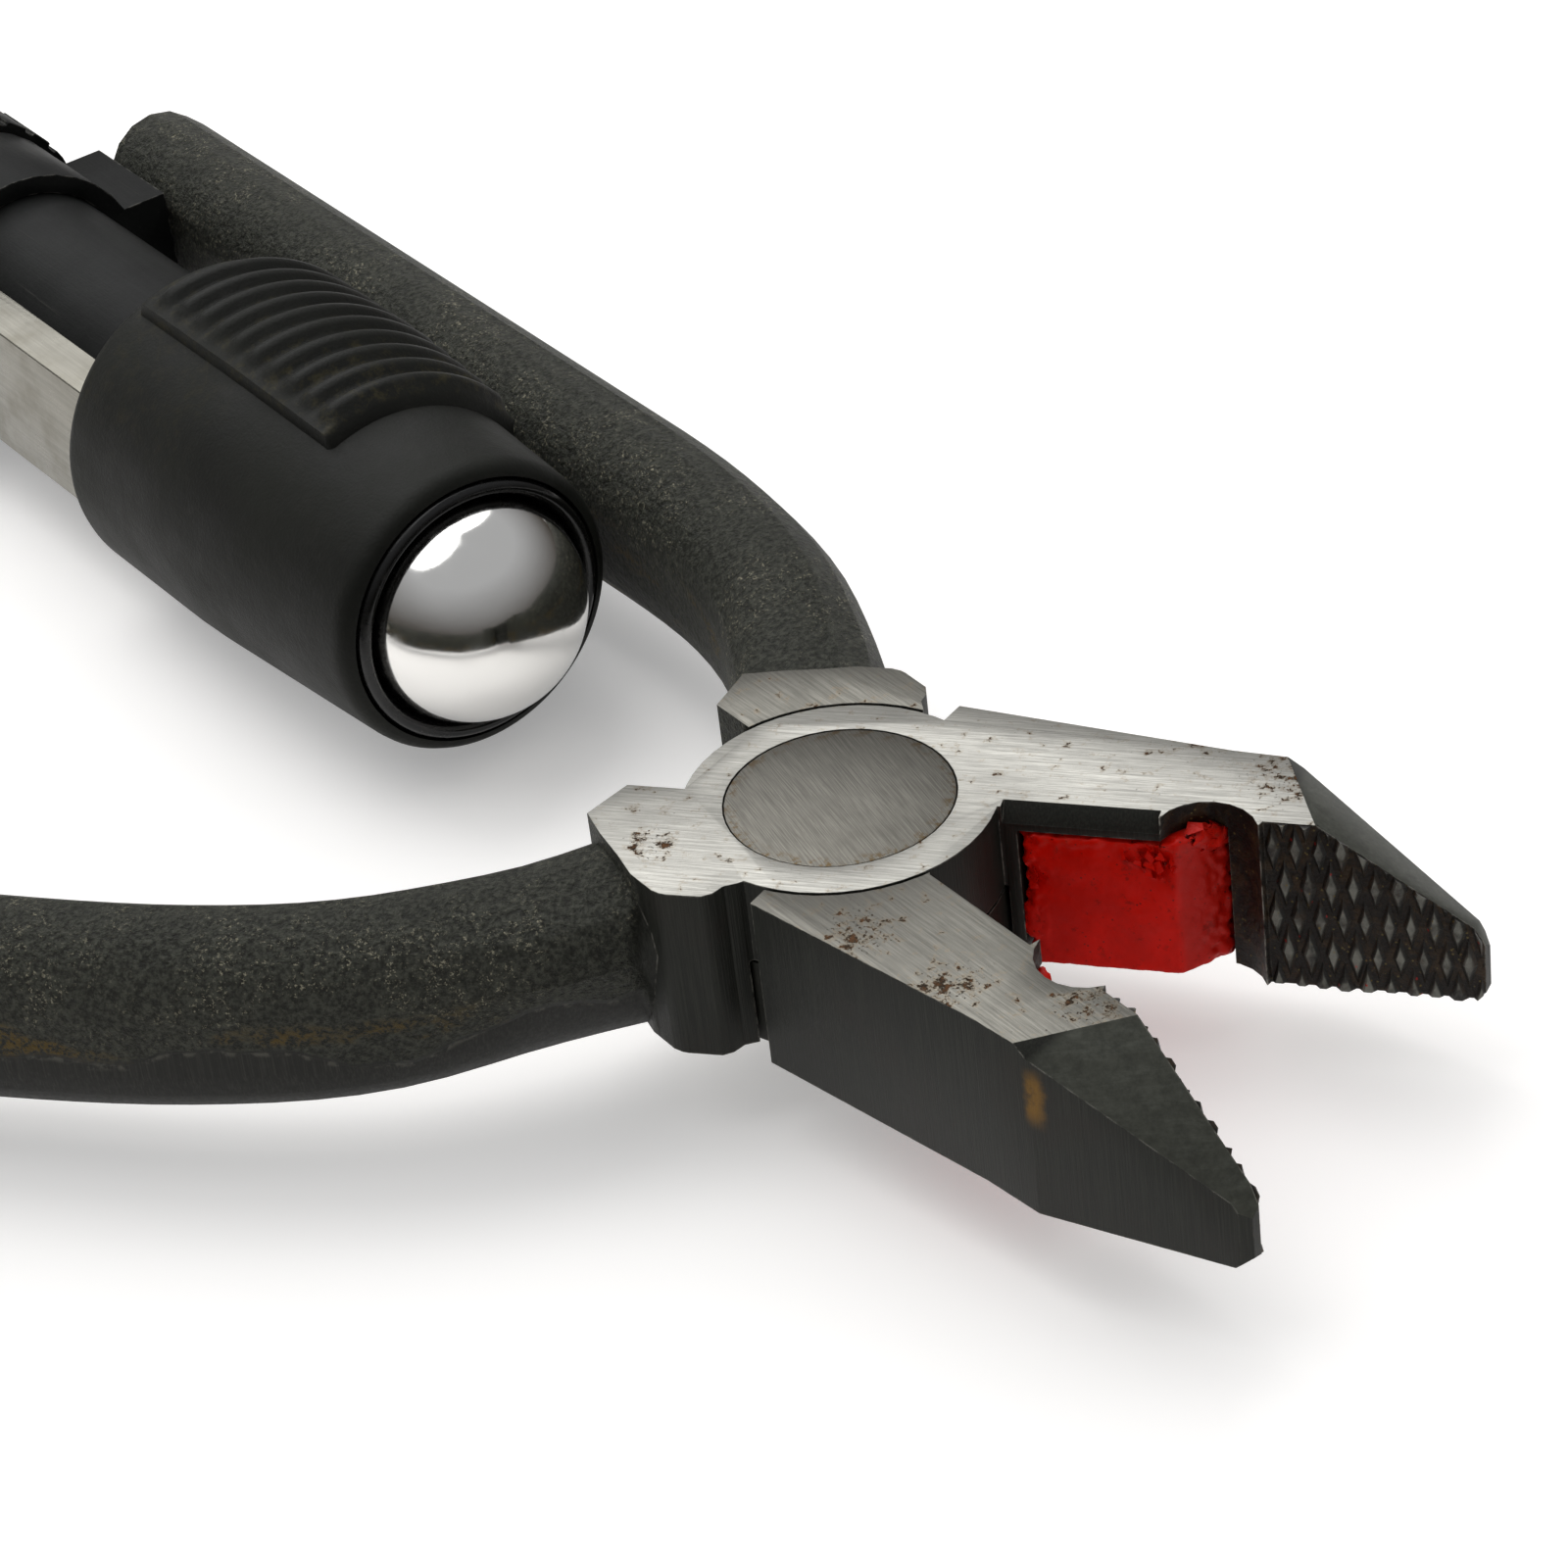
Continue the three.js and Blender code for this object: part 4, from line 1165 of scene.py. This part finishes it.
@dataclass
class PlierHalf:
    """One half of the pliers with its teeth and pad."""

    name: str
    body: Body
    turn: float  # degrees from its own axes to the part's
    hand: float
    steel: Finish
    grip: Finish
    rubber: Finish
    bevel: float = 0.22
    tooth_pitch: Pair = (1.335, 4.96)
    tooth_half: Pair = (0.645, 2.38)
    tooth_root: float = 0.62
    tooth_crest: float = 0.20
    tooth_flat: float = 0.36
    grip_u: Pair = (25.9, 38.1)
    jaw_tip: float = 38.4
    slope_start: float = 28.6
    slope_deg: float = 38.4
    slope_skew: float = 23.0
    tip_deg: float = 62.0
    pad_voxel: float = 0.17
    pad_gap: float = 0.04
    ragged_x: tuple[Pair, ...] = ((10.9, 1.3), (22.7, 1.6))  # where the pad is torn, and how far round
    ragged_z: Pair = (-1.9, 1.2)
    lumps: Sequence[Lump] = ()

    def placed(self, point: Sequence[float]) -> Vector:
        """A point of the half's own axes, jaw on +Y, in the part's axes, mm."""
        own = Vector((point[0], point[1] * self.hand, point[2]))
        return Matrix.Rotation(math.radians(self.turn), 3, "Z") @ own

    def own(self, point: Vector) -> Vector:
        """A point of the part's axes in the half's own axes, jaw on +Y, mm."""
        turned = Matrix.Rotation(math.radians(-self.turn), 3, "Z") @ point
        return Vector((turned.x, turned.y * self.hand, turned.z))

    def slope_normal(self) -> Vector:
        """Outward normal of the nose slope, in the half's own axes."""
        tilt, skew = math.radians(self.slope_deg), math.radians(self.slope_skew)
        return Vector((math.sin(tilt) * math.cos(skew), math.sin(tilt) * math.sin(skew), math.cos(tilt)))

    def build(self) -> None:
        """Build and dress the half, its teeth and its pad."""
        steel = bevelled(self.name, f"{self.name}_steel", self.bevel)
        hand_over(steel, self.steel, self.body, [self.name])
        hand_over(self.teeth(), self.grip, self.body)
        pad = self.name.replace("half", "jaw_pad")
        hand_over(self.pad(pad), self.rubber, self.body, [pad])

    def tooth(self) -> bpy.types.Object:
        """One lozenge tooth at the half's own origin, its crest towards the closing line.

        Returns:
            The new object.
        """
        depth = self.tooth_root - self.tooth_crest
        bpy.ops.object.select_all(action="DESELECT")
        bpy.ops.mesh.primitive_cone_add(
            vertices=4, radius1=MM, radius2=self.tooth_flat * MM, depth=depth * MM, end_fill_type="NGON",
            location=(0.0, (self.tooth_root - depth / 2) * MM, 0.0), rotation=(math.pi / 2, 0.0, 0.0),
            scale=(*self.tooth_half, 1.0),
        )
        bpy.ops.object.transform_apply(location=True, rotation=True, scale=True)
        return bpy.context.active_object

    def teeth(self) -> bpy.types.Object:
        """The cross-cut face: staggered rows of teeth, trimmed to the jaw's face.

        Returns:
            The new object.
        """
        model = self.tooth()
        chance = random.Random(self.name)
        pitch_u, pitch_z = self.tooth_pitch
        copies = []
        start, end = self.grip_u
        for row in range(2 * int(HEAD_T / pitch_z) + 3):
            shift = 0.5 * pitch_u * (row % 2)
            z = -HEAD_T + 0.5 * pitch_z * row
            for column in range(int((end - start) / pitch_u) + 2):
                u = start + shift + pitch_u * column
                if u > end + 0.5 or z > 1.0:
                    continue
                copy = bpy.data.objects.new("tooth", model.data.copy())
                bpy.context.scene.collection.objects.link(copy)
                worn = Matrix.Diagonal((1.0, 1.0, chance.uniform(0.88, 1.0), 1.0))
                lean = Vector(
                    (chance.uniform(-0.05, 0.05), chance.uniform(0.0, 0.12), chance.uniform(-0.12, 0.12))
                )
                copy.data.transform(Matrix.Translation((Vector((u, 0.0, z)) + lean) * MM) @ worn)
                copies.append(copy)
        bpy.data.objects.remove(model)
        made = joined(f"{self.name}_teeth", copies)
        slope = self.slope_normal()
        lift = math.radians(self.tip_deg)
        tip = Vector((math.sin(lift), 0.12, math.cos(lift)))
        cuts = [
            ((self.jaw_tip - 0.95, 0.0, -6.3), tip),
            ((self.jaw_tip - 0.75, 0.0, -HEAD_T), Vector((1.0, 0.0, -1.0)).normalized()),
            ((0.0, 0.0, -HEAD_T + 0.05), Vector((0.0, 0.0, -1.0))),
            ((0.0, 0.0, -0.06), Vector((0.0, 0.0, 1.0))),
            ((self.slope_start - 0.05, 0.3, 0.0), slope),
            ((end, 0.0, 0.0), Vector((1.0, 0.0, 0.0))),
            ((start - 0.4, 0.0, 0.0), Vector((-1.0, 0.0, 0.0))),
        ]
        with editing(made):
            for point, outward in cuts:
                bpy.ops.mesh.select_all(action="SELECT")
                bpy.ops.mesh.bisect(
                    plane_co=Vector(point) * MM, plane_no=outward, use_fill=True, clear_outer=True
                )
        reshape(made, lambda place, _normal: self.placed(place))
        with editing(made):
            bpy.ops.mesh.normals_make_consistent(inside=False)
        return made

    def pad(self, node: str) -> bpy.types.Object:
        """The torn soft pad: the plain pad remeshed finely, then dented, swollen and ragged.

        Args:
            node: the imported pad.

        Returns:
            The new object.
        """
        made = copy_of(node, f"{node}_torn")
        modify(made, "REMESH", mode="VOXEL", voxel_size=self.pad_voxel * MM, use_smooth_shade=True)
        modify(made, "SMOOTH", factor=0.5, iterations=2)

        def worn(place: Vector, normal: Vector) -> Vector:
            """Wear a vertex.

            Args:
                place: where it is.
                normal: its normal.

            Returns:
                Where it goes.
            """
            own = self.own(place)
            push = 0.0
            for lump in self.lumps:
                away = (own - Vector(lump.centre)).length / lump.radius
                push += lump.height * math.exp(-away * away)
            ragged = sum(max(0.0, 1.0 - abs(own.x - at) / reach) for at, reach in self.ragged_x)
            level, reach = self.ragged_z
            ragged += 0.6 * max(0.0, 1.0 - abs(own.z - level) / reach)
            coarse = noise.noise(own * 0.45) * 0.12
            torn = noise.noise(own * 1.9 + Vector((7.0, 3.0, 1.0))) * 0.42 * ragged
            fine = noise.noise(own * 2.6) * 0.025
            moved = self.own(place + normal * (push + coarse + torn + fine))
            moved.y = max(moved.y, self.pad_gap)
            return self.placed(moved)

        reshape(made, worn)
        smooth(made, 60.0)
        return made


# ------------------------------------------------------------------ pivot and catch
@dataclass
class Pivot:
    """Flush rivet and its foot."""

    bevel: float = 0.12

    def build(self) -> None:
        """Build and dress the rivet and its foot."""
        for node in ("pivot_rivet", "rivet_foot"):
            piece = bevelled(node, f"{node}_ground", self.bevel)
            hand_over(piece, RIVET_STEEL, Body.FRAME, [node])


@dataclass
class Catch:
    """Joggled catch strip and its rivets on the swing handle."""

    bevel: float = 0.15
    nodes: tuple[str, ...] = ("catch_hook", "catch_rivet_front", "catch_rivet_rear")

    def build(self) -> None:
        """Build and dress the strip and its rivets."""
        for node in self.nodes:
            hand_over(bevelled(node, f"{node}_plated", self.bevel), ZINC_PLATE, Body.SWING, [node])


# ------------------------------------------------------------------ barrel
@dataclass
class Barrel:
    """Tube, domed front, rail and what ties them to the fixed handle."""

    tube_x: Pair = (-118.0, -43.4)
    tube_r: float = 7.7
    bore_r: float = 6.4
    outer_break: float = 0.3
    bore_break: float = 0.2
    dome_r: float = 8.05
    dome_wall: float = 0.8  # straight length before the round
    dome_steps: int = 22
    spigot: float = 1.7

    def build(self) -> None:
        """Build and dress the barrel."""
        hand_over(self.tube(), BARREL_OXIDE, Body.FRAME, ["barrel_tube"])
        hand_over(self.dome(), DOME_MIRROR, Body.FRAME, ["front_dome"])
        hand_over(bevelled("guide_rail", "rail_plated", 0.5, 3), ZINC_PLATE, Body.FRAME, ["guide_rail"])
        collar = bevelled("anchor_collar", "collar_oxide", 0.25)
        hand_over(collar, BARREL_OXIDE, Body.FRAME, ["anchor_collar"])
        for end in ("front", "rear"):
            node = f"anchor_screw_{end}"
            hand_over(bevelled(node, f"{node}_plated", 0.1), ZINC_PLATE, Body.FRAME, [node])
        for node in ("detent_ball", "thrust_washer"):
            dress_node(node, ZINC_PLATE)
        dress_node("nut_ring", BARREL_OXIDE)
        dress_node("detent_spring", SPRING_WIRE)
        dress_node("drive_nut", TURNED_BRONZE)

    def tube(self) -> bpy.types.Object:
        """The long tube, its rims broken.

        Returns:
            The new object.
        """
        (rear, front), outer, bore = self.tube_x, self.tube_r, self.bore_r
        out, back = self.outer_break, self.bore_break
        profile = [
            (rear, bore + back), (rear, outer - out), (rear + out, outer), (front - out, outer),
            (front, outer - out), (front, bore + back), (front - back, bore), (rear + back, bore),
            (rear, bore + back),
        ]
        made = spun("barrel_tube_oxide", profile)
        smooth(made)
        return made

    def dome(self) -> bpy.types.Object:
        """The mirror dome with its spigot in the tube.

        Returns:
            The new object.
        """
        base, outer = self.tube_x[1] + 0.1, self.dome_r
        inside = self.bore_r - 0.5
        profile = [(base - self.spigot, 0.0), (base - self.spigot, inside), (base, inside)]
        profile += [(base, outer - self.bore_break), (base + self.bore_break, outer)]
        profile += quarter((base + self.dome_wall, 0.0), (outer, outer), self.dome_steps, False)[1:-1]
        profile.append((base + self.dome_wall + outer, 0.0))
        made = spun("front_dome_mirror", profile)
        smooth(made, 40.0)
        return made


@dataclass
class ReturnSpring:
    """Coil that pulls the rod home; the real one shortens as the knob is drawn, but this one keeps its rest
    length.
    """

    ends: Pair = (-107.3, -50.8)
    radius: float = 5.0
    wire: float = 0.45
    sides: int = 8
    turns: int = 15
    steps: int = 16
    travel: float = 40.0

    def build(self) -> None:
        """Build the coil."""
        low, high = self.ends
        bpy.ops.object.select_all(action="DESELECT")
        bpy.ops.mesh.primitive_circle_add(
            vertices=self.sides, radius=self.wire * MM, location=(low * MM, 0.0, AXIS_Z * MM),
            rotation=(math.pi / 2, 0.0, 0.0),
        )
        made = bpy.context.active_object
        made.name = "return_coil"
        bpy.ops.object.transform_apply(location=False, rotation=True, scale=False)
        with editing(made):
            bpy.ops.transform.translate(value=(0.0, 0.0, self.radius * MM))
        modify(
            made, "SCREW", axis="X", angle=2 * math.pi, screw_offset=(high - low) / self.turns * MM,
            iterations=self.turns, steps=self.steps, render_steps=self.steps,
        )
        bpy.ops.object.transform_apply(location=True)
        with editing(made):
            bpy.ops.mesh.fill_holes(sides=self.sides)
            bpy.ops.mesh.select_all(action="SELECT")
            bpy.ops.mesh.normals_make_consistent(inside=False)
        smooth(made, 50.0)
        hand_over(made, SPRING_WIRE, Body.FRAME, ["return_spring"])
        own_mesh(made)


# ------------------------------------------------------------------ lock sleeve
@dataclass
class LockSleeve:
    """Sliding sleeve with a ribbed thumb panel and a glossy lip."""

    ends: Pair = (-76.3, -41.1)
    mouth_r: float = 10.4
    flare_r: float = 11.7
    flare_x: float = -62.0
    bore_r: float = 7.8
    lip_r: float = 9.5
    lip_depth: float = 2.5
    rear_rim: float = 1.2
    front_rim: Pair = (1.4, 1.0)
    lip_ring: Pair = (8.25, 9.3)
    lip_round: float = 0.75
    panel_x: Pair = (-74.6, -50.0)
    panel_arc: Pair = (-22.0, 62.0)
    ribs: int = 10
    panel_proud: float = 0.9
    rib_proud: float = 1.6
    rib_shape: tuple[Pair, ...] = (  # share of the pitch, share of the height
        (0.0, 0.0), (0.12, 0.25), (0.24, 0.72), (0.38, 0.97), (0.54, 0.97), (0.68, 0.72), (0.80, 0.25),
        (0.92, 0.0),
    )

    def radius(self, x: float) -> float:
        """Outer radius at x: even taper from the mouth back to the flare."""
        share = min(1.0, max(0.0, (self.ends[1] - x) / (self.ends[1] - self.flare_x)))
        return self.mouth_r + (self.flare_r - self.mouth_r) * share

    def build(self) -> None:
        """Build and dress the sleeve."""
        hand_over(self.shell(), SLEEVE_PLASTIC, Body.SLEEVE, ["lock_sleeve"])
        hand_over(self.panel(), SLEEVE_PLASTIC, Body.SLEEVE)
        hand_over(self.lip(), GLOSS_BLACK, Body.SLEEVE, ["sleeve_lip"])
        dress_node("friction_ring", SEAL_RUBBER)

    def shell(self) -> bpy.types.Object:
        """The sleeve's body: rounded rims, tapered outside, hollow at the rear for the rail.

        Returns:
            The new object.
        """
        rear, front = self.ends
        rim, (nose_x, nose_r), flare = self.rear_rim, self.front_rim, self.flare_r
        taper, rows = front - nose_x - rear - rim, 11
        outside = quarter((rear + rim, flare - rim), (rim, rim), 4, True)
        for i in range(1, rows + 1):
            x = rear + rim + taper * i / rows
            outside.append((x, self.radius(x)))
        nose = self.radius(front - nose_x)
        outside += quarter((front - nose_x, nose - nose_r), (nose_x, nose_r), 4, False)[1:]
        inside = [
            (front, self.lip_r), (front - self.lip_depth, self.lip_r), (front - self.lip_depth, self.bore_r),
            (rear + 3.0, self.bore_r), (rear, flare - 1.6), (rear, flare - rim),
        ]
        made = spun("sleeve_shell", outside + inside, 112)
        smooth(made, 40.0)
        return made

    def panel(self) -> bpy.types.Object:
        """The raised thumb panel with soft-ended ribs across it.

        Returns:
            The new object.
        """
        low, high = self.panel_x
        proud, rise = self.panel_proud, self.rib_proud - self.panel_proud
        pitch = (high - low - 1.6) / self.ribs
        foot, shoulder = self.radius(low), self.radius(high)
        profile = [(low, foot - 0.6), (low, foot + proud - 0.3), (low + 0.35, foot + proud)]
        for i in range(self.ribs):
            for share, height in self.rib_shape:
                at = low + 1.0 + pitch * i + share * pitch
                profile.append((at, self.radius(at) + proud + rise * height))
        profile += [(high - 0.5, shoulder + 0.6), (high, shoulder - 0.2), (high, shoulder - 0.6), profile[0]]
        first, last = self.panel_arc
        made = spun("sleeve_thumb_panel", profile, 40, last - first, first)

        def soften(place: Vector, _normal: Vector) -> Vector:
            """Lower the panel's ribs towards its two long edges.

            Args:
                place: where a vertex is.
                _normal: its normal, not needed here.

            Returns:
                Where it goes.
            """
            up = place.z - AXIS_Z
            floor = self.radius(place.x)
            above = math.hypot(place.y, up) - floor
            if above <= 0.0:
                return place
            angle = math.degrees(math.atan2(place.y, up))
            inset = min(angle - first, last - angle)
            edge = min(1.0, max(0.0, inset / 2.2))
            rib_end = min(1.0, max(0.0, (inset - 4.0) / 6.0))
            base = min(above, self.panel_proud) * math.sqrt(edge)
            rib = max(0.0, above - self.panel_proud) * rib_end * rib_end * (3 - 2 * rib_end)
            return around_axis(place, floor + base + rib)

        reshape(made, soften)
        smooth(made, 50.0)
        return made

    def lip(self) -> bpy.types.Object:
        """The rounded glossy ring in the sleeve's mouth.

        Returns:
            The new object.
        """
        front = self.ends[1]
        inner, outer = self.lip_ring
        middle, half = (inner + outer) / 2, (outer - inner) / 2
        profile = [(front - 2.2, inner), (front - 2.2, outer)]
        for i in range(9):
            angle = math.pi * i / 8
            profile.append((front - 0.3 + self.lip_round * math.sin(angle), middle + half * math.cos(angle)))
        profile.append((front - 2.2, inner))
        made = spun("sleeve_lip_gloss", profile)
        smooth(made, 45.0)
        return made


# ------------------------------------------------------------------ selector, rod and knob
@dataclass
class Selector:
    """Direction ring behind the collar."""

    def build(self) -> None:
        """Build and dress the ring."""
        piece = bevelled("selector_ring", "selector_ring_oxide", 0.12)
        hand_over(piece, BARREL_OXIDE, Body.SELECTOR, ["selector_ring"])


@dataclass
class TwistRod:
    """Spiral rod, its hub, and the moulded pull knob."""

    knob_x: Pair = (-141.0, -120.5)
    hub_r: float = 4.7
    flutes: int = 9
    flute_depth: float = 1.15

    def build(self) -> None:
        """Build and dress the rod and the knob."""
        hand_over(bevelled("spiral_rod", "spiral_rod_plated", 0.12), ZINC_PLATE, Body.ROD, ["spiral_rod"])
        hand_over(bevelled("knob_hub", "knob_hub_plated", 0.15), ZINC_PLATE, Body.ROD, ["knob_hub"])
        hand_over(self.knob(), KNOB_PLASTIC, Body.ROD, ["pull_knob"])
        hand_over(self.cap(), GLOSS_BLACK, Body.ROD, ["knob_cap"])
        for node in ("rod_head", "knob_pin"):
            dress_node(node, ZINC_PLATE)
        dress_node("spring_follower", TURNED_BRONZE)

    def knob(self) -> bpy.types.Object:
        """The knob, turned from a soft outline, with finger flutes scooped round its crown.

        Returns:
            The new object.
        """
        rear, front = self.knob_x
        outline = [
            (0.0, 6.2), (0.0, 7.4), (0.25, 8.1), (0.8, 9.0), (1.6, 9.9), (2.8, 10.8), (4.3, 11.3),
            (5.6, 11.4), (7.2, 11.4), (9.0, 11.2), (10.8, 10.7), (12.8, 10.0), (15.0, 9.2), (17.6, 8.5),
            (19.8, 8.1),
        ]
        profile = [(rear + x, r) for x, r in outline]
        profile += [(front - 0.2, 7.8), (front, 7.4), (front, 6.4), (front - 1.8, 6.4)]
        profile += [(front - 1.8, self.hub_r), (rear + 4.3, self.hub_r), (rear + 4.3, 0.0)]
        profile = [(rear + 1.6, 0.0), (rear + 1.6, 6.2), *profile]
        made = spun("pull_knob_moulded", profile, 144)

        def scooped(place: Vector, _normal: Vector) -> Vector:
            """Press the flutes into the crown.

            Args:
                place: where a vertex is.
                _normal: its normal, not needed here.

            Returns:
                Where it goes.
            """
            up = place.z - AXIS_Z
            reach = math.hypot(place.y, up)
            if reach < 7.0:
                return place
            back = min(1.0, max(0.0, (place.x - rear - 0.4) / 1.6))
            ahead = min(1.0, max(0.0, (rear + 14.5 - place.x) / 4.0))
            wave = max(0.0, math.cos(math.atan2(place.y, up) * self.flutes)) ** 3
            return around_axis(place, reach - self.flute_depth * wave * back * ahead)

        reshape(made, scooped)
        smooth(made, 42.0)
        return made

    def cap(self) -> bpy.types.Object:
        """The glossy plug in the knob's rear.

        Returns:
            The new object.
        """
        rear = self.knob_x[0]
        profile = [
            (rear - 0.4, 0.0), (rear - 0.4, 4.9), (rear - 0.3, 5.3), (rear, 5.7), (rear + 0.4, 5.9),
            (rear + 1.3, 5.9), (rear + 1.3, 0.0),
        ]
        made = spun("knob_cap_gloss", profile)
        smooth(made, 40.0)
        return made


# ------------------------------------------------------------------ studio
@dataclass(frozen=True)
class Lamp:
    """A round soft lamp: metres and watts."""

    name: str
    place: Point
    size: float
    power: float
    aim: Point


@dataclass
class Studio:
    """Pale floor, soft lights and the camera. Lengths are metres unless they say otherwise."""

    floor_z: float = -17.75  # mm
    floor_size: float = 3.0
    floor_colour: Colour = (0.885, 0.868, 0.848)
    floor_glow: float = 0.31
    far_glow: float = 0.7
    far_mm: Pair = (250.0, 750.0)
    sky_low: tuple[float, Colour] = (0.02, (0.10, 0.085, 0.070))
    sky_high: tuple[float, Colour] = (0.70, (0.80, 0.81, 0.83))
    sky_strength: float = 0.58
    lights: tuple[Lamp, ...] = (
        Lamp("key", (-0.60, 0.16, 0.74), 1.15, 5.7, (-0.01, 0.0, 0.0)),
        Lamp("overhead", (-0.30, -0.24, 0.86), 0.85, 2.9, (-0.02, 0.0, 0.0)),
    )
    camera_place: Point = (0.20064, -0.12916, 0.16766)
    forward: Point = (-0.6958, 0.4348, -0.5717)
    level: Point = (0.5299, 0.8480, 0.0)
    roll: float = -7.2
    lens: float = 112.5

    def build(self) -> None:
        """Make the floor, lights, world and camera."""
        self.floor()
        self.lamps()
        self.world()
        self.camera()
        bpy.context.scene.view_settings.view_transform = "Standard"

    def floor(self) -> None:
        """A white floor that glows a little, and more away from the tool, where the lamps fade."""
        bpy.ops.object.select_all(action="DESELECT")
        bpy.ops.mesh.primitive_plane_add(size=self.floor_size, location=(0.0, 0.0, self.floor_z * MM))
        plane = bpy.context.active_object
        plane.name = "studio_floor"
        bpy.ops.object.transform_apply(location=True)
        g = Graph("floor_white", "ShaderNodeAddShader")
        matt = g.nodes.new("ShaderNodeBsdfDiffuse")
        matt.inputs["Color"].default_value = (*self.floor_colour, 1.0)
        glow = g.nodes.new("ShaderNodeEmission")
        path = g.nodes.new("ShaderNodeLightPath")
        camera = path.outputs["Is Camera Ray"]
        seen = g.math("MAXIMUM", camera, path.outputs["Is Glossy Ray"])
        seen = g.math("MAXIMUM", seen, path.outputs["Is Transmission Ray"])
        afar = g.step(g.distance(g.coords(), (0.0, 0.0, 0.0)), *self.far_mm)
        level = g.math("MULTIPLY", seen, self.floor_glow)
        beyond = g.math("MULTIPLY", afar, self.far_glow)
        g.feed(glow.inputs["Strength"], g.math("MULTIPLY_ADD", camera, beyond, level))
        g.feed(g.shader.inputs[0], matt.outputs[0])
        g.feed(g.shader.inputs[1], glow.outputs[0])
        plane.data.materials.append(g.material)

    def lamps(self) -> None:
        """A large soft key from behind and to the left, and a smaller one overhead."""
        for light in self.lights:
            lamp = bpy.data.lights.new(light.name, "AREA")
            lamp.shape = "DISK"
            lamp.size = light.size
            lamp.energy = light.power
            holder = bpy.data.objects.new(light.name, lamp)
            bpy.context.scene.collection.objects.link(holder)
            holder.location = light.place
            line = Vector(light.aim) - Vector(light.place)
            holder.rotation_euler = line.to_track_quat("-Z", "Y").to_euler()

    def world(self) -> None:
        """Plain pale surroundings, white to the camera, darker towards the horizon."""
        world = bpy.data.worlds.new("studio")
        bpy.context.scene.world = world
        world.use_nodes = True
        nodes, links = world.node_tree.nodes, world.node_tree.links
        nodes.clear()
        out = nodes.new("ShaderNodeOutputWorld")
        air = nodes.new("ShaderNodeBackground")
        white = nodes.new("ShaderNodeBackground")
        white.inputs["Color"].default_value = (1.0, 1.0, 1.0, 1.0)
        where = nodes.new("ShaderNodeTexCoord")
        split = nodes.new("ShaderNodeSeparateXYZ")
        links.new(where.outputs["Generated"], split.inputs[0])
        ramp = nodes.new("ShaderNodeValToRGB")
        for stop, (position, colour) in zip(ramp.color_ramp.elements, (self.sky_low, self.sky_high)):
            stop.position = position
            stop.color = (*colour, 1.0)
        links.new(split.outputs["Z"], ramp.inputs["Fac"])
        links.new(ramp.outputs["Color"], air.inputs["Color"])
        air.inputs["Strength"].default_value = self.sky_strength
        path = nodes.new("ShaderNodeLightPath")
        both = nodes.new("ShaderNodeMixShader")
        links.new(path.outputs["Is Camera Ray"], both.inputs[0])
        links.new(air.outputs[0], both.inputs[1])
        links.new(white.outputs[0], both.inputs[2])
        links.new(both.outputs[0], out.inputs["Surface"])

    def camera(self) -> None:
        """The camera, rolled a little about its line of sight."""
        data = bpy.data.cameras.new("camera")
        data.lens = self.lens
        data.sensor_width = 36.0
        data.clip_start, data.clip_end = 0.01, 10.0
        holder = bpy.data.objects.new("camera", data)
        bpy.context.scene.collection.objects.link(holder)
        ahead, level = Vector(self.forward).normalized(), Vector(self.level).normalized()
        above = level.cross(ahead)
        roll = math.radians(self.roll)
        right = math.cos(roll) * level + math.sin(roll) * above
        upward = -math.sin(roll) * level + math.cos(roll) * above
        turn = Matrix((right, upward, -ahead)).transposed().to_4x4()
        holder.matrix_world = Matrix.Translation(self.camera_place) @ turn
        bpy.context.scene.camera = holder


PAD_LUMPS = (
    Lump((21.6, 1.6, -1.6), 1.3, 0.95),
    Lump((22.4, 3.0, -2.2), 1.1, 0.45),
    Lump((18.6, 0.15, -3.4), 1.3, -0.55),
    Lump((16.6, 0.15, -3.2), 0.9, -0.25),
    Lump((11.2, 0.3, -8.6), 0.9, 0.45),
    Lump((11.4, 0.2, -5.2), 0.8, -0.35),
)


def main() -> None:
    """Build every sub-assembly in order."""
    logging.basicConfig(level=logging.INFO, format="%(message)s")
    Studio().build()
    assemblies = (
        PlierHalf("fixed_half", Body.FRAME, 0.0, -1.0, FIXED_STEEL, FIXED_GRIP, FIXED_RUBBER),
        PlierHalf(
            "swing_half", Body.SWING, OPEN_DEG, 1.0, SWING_STEEL, SWING_GRIP, SWING_RUBBER, lumps=PAD_LUMPS
        ),
        Pivot(), Catch(), Barrel(), ReturnSpring(), LockSleeve(), Selector(), TwistRod(),
    )
    for assembly in assemblies:
        LOG.info("building %s", type(assembly).__name__)
        assembly.build()


if __name__ == "__main__":
    main()
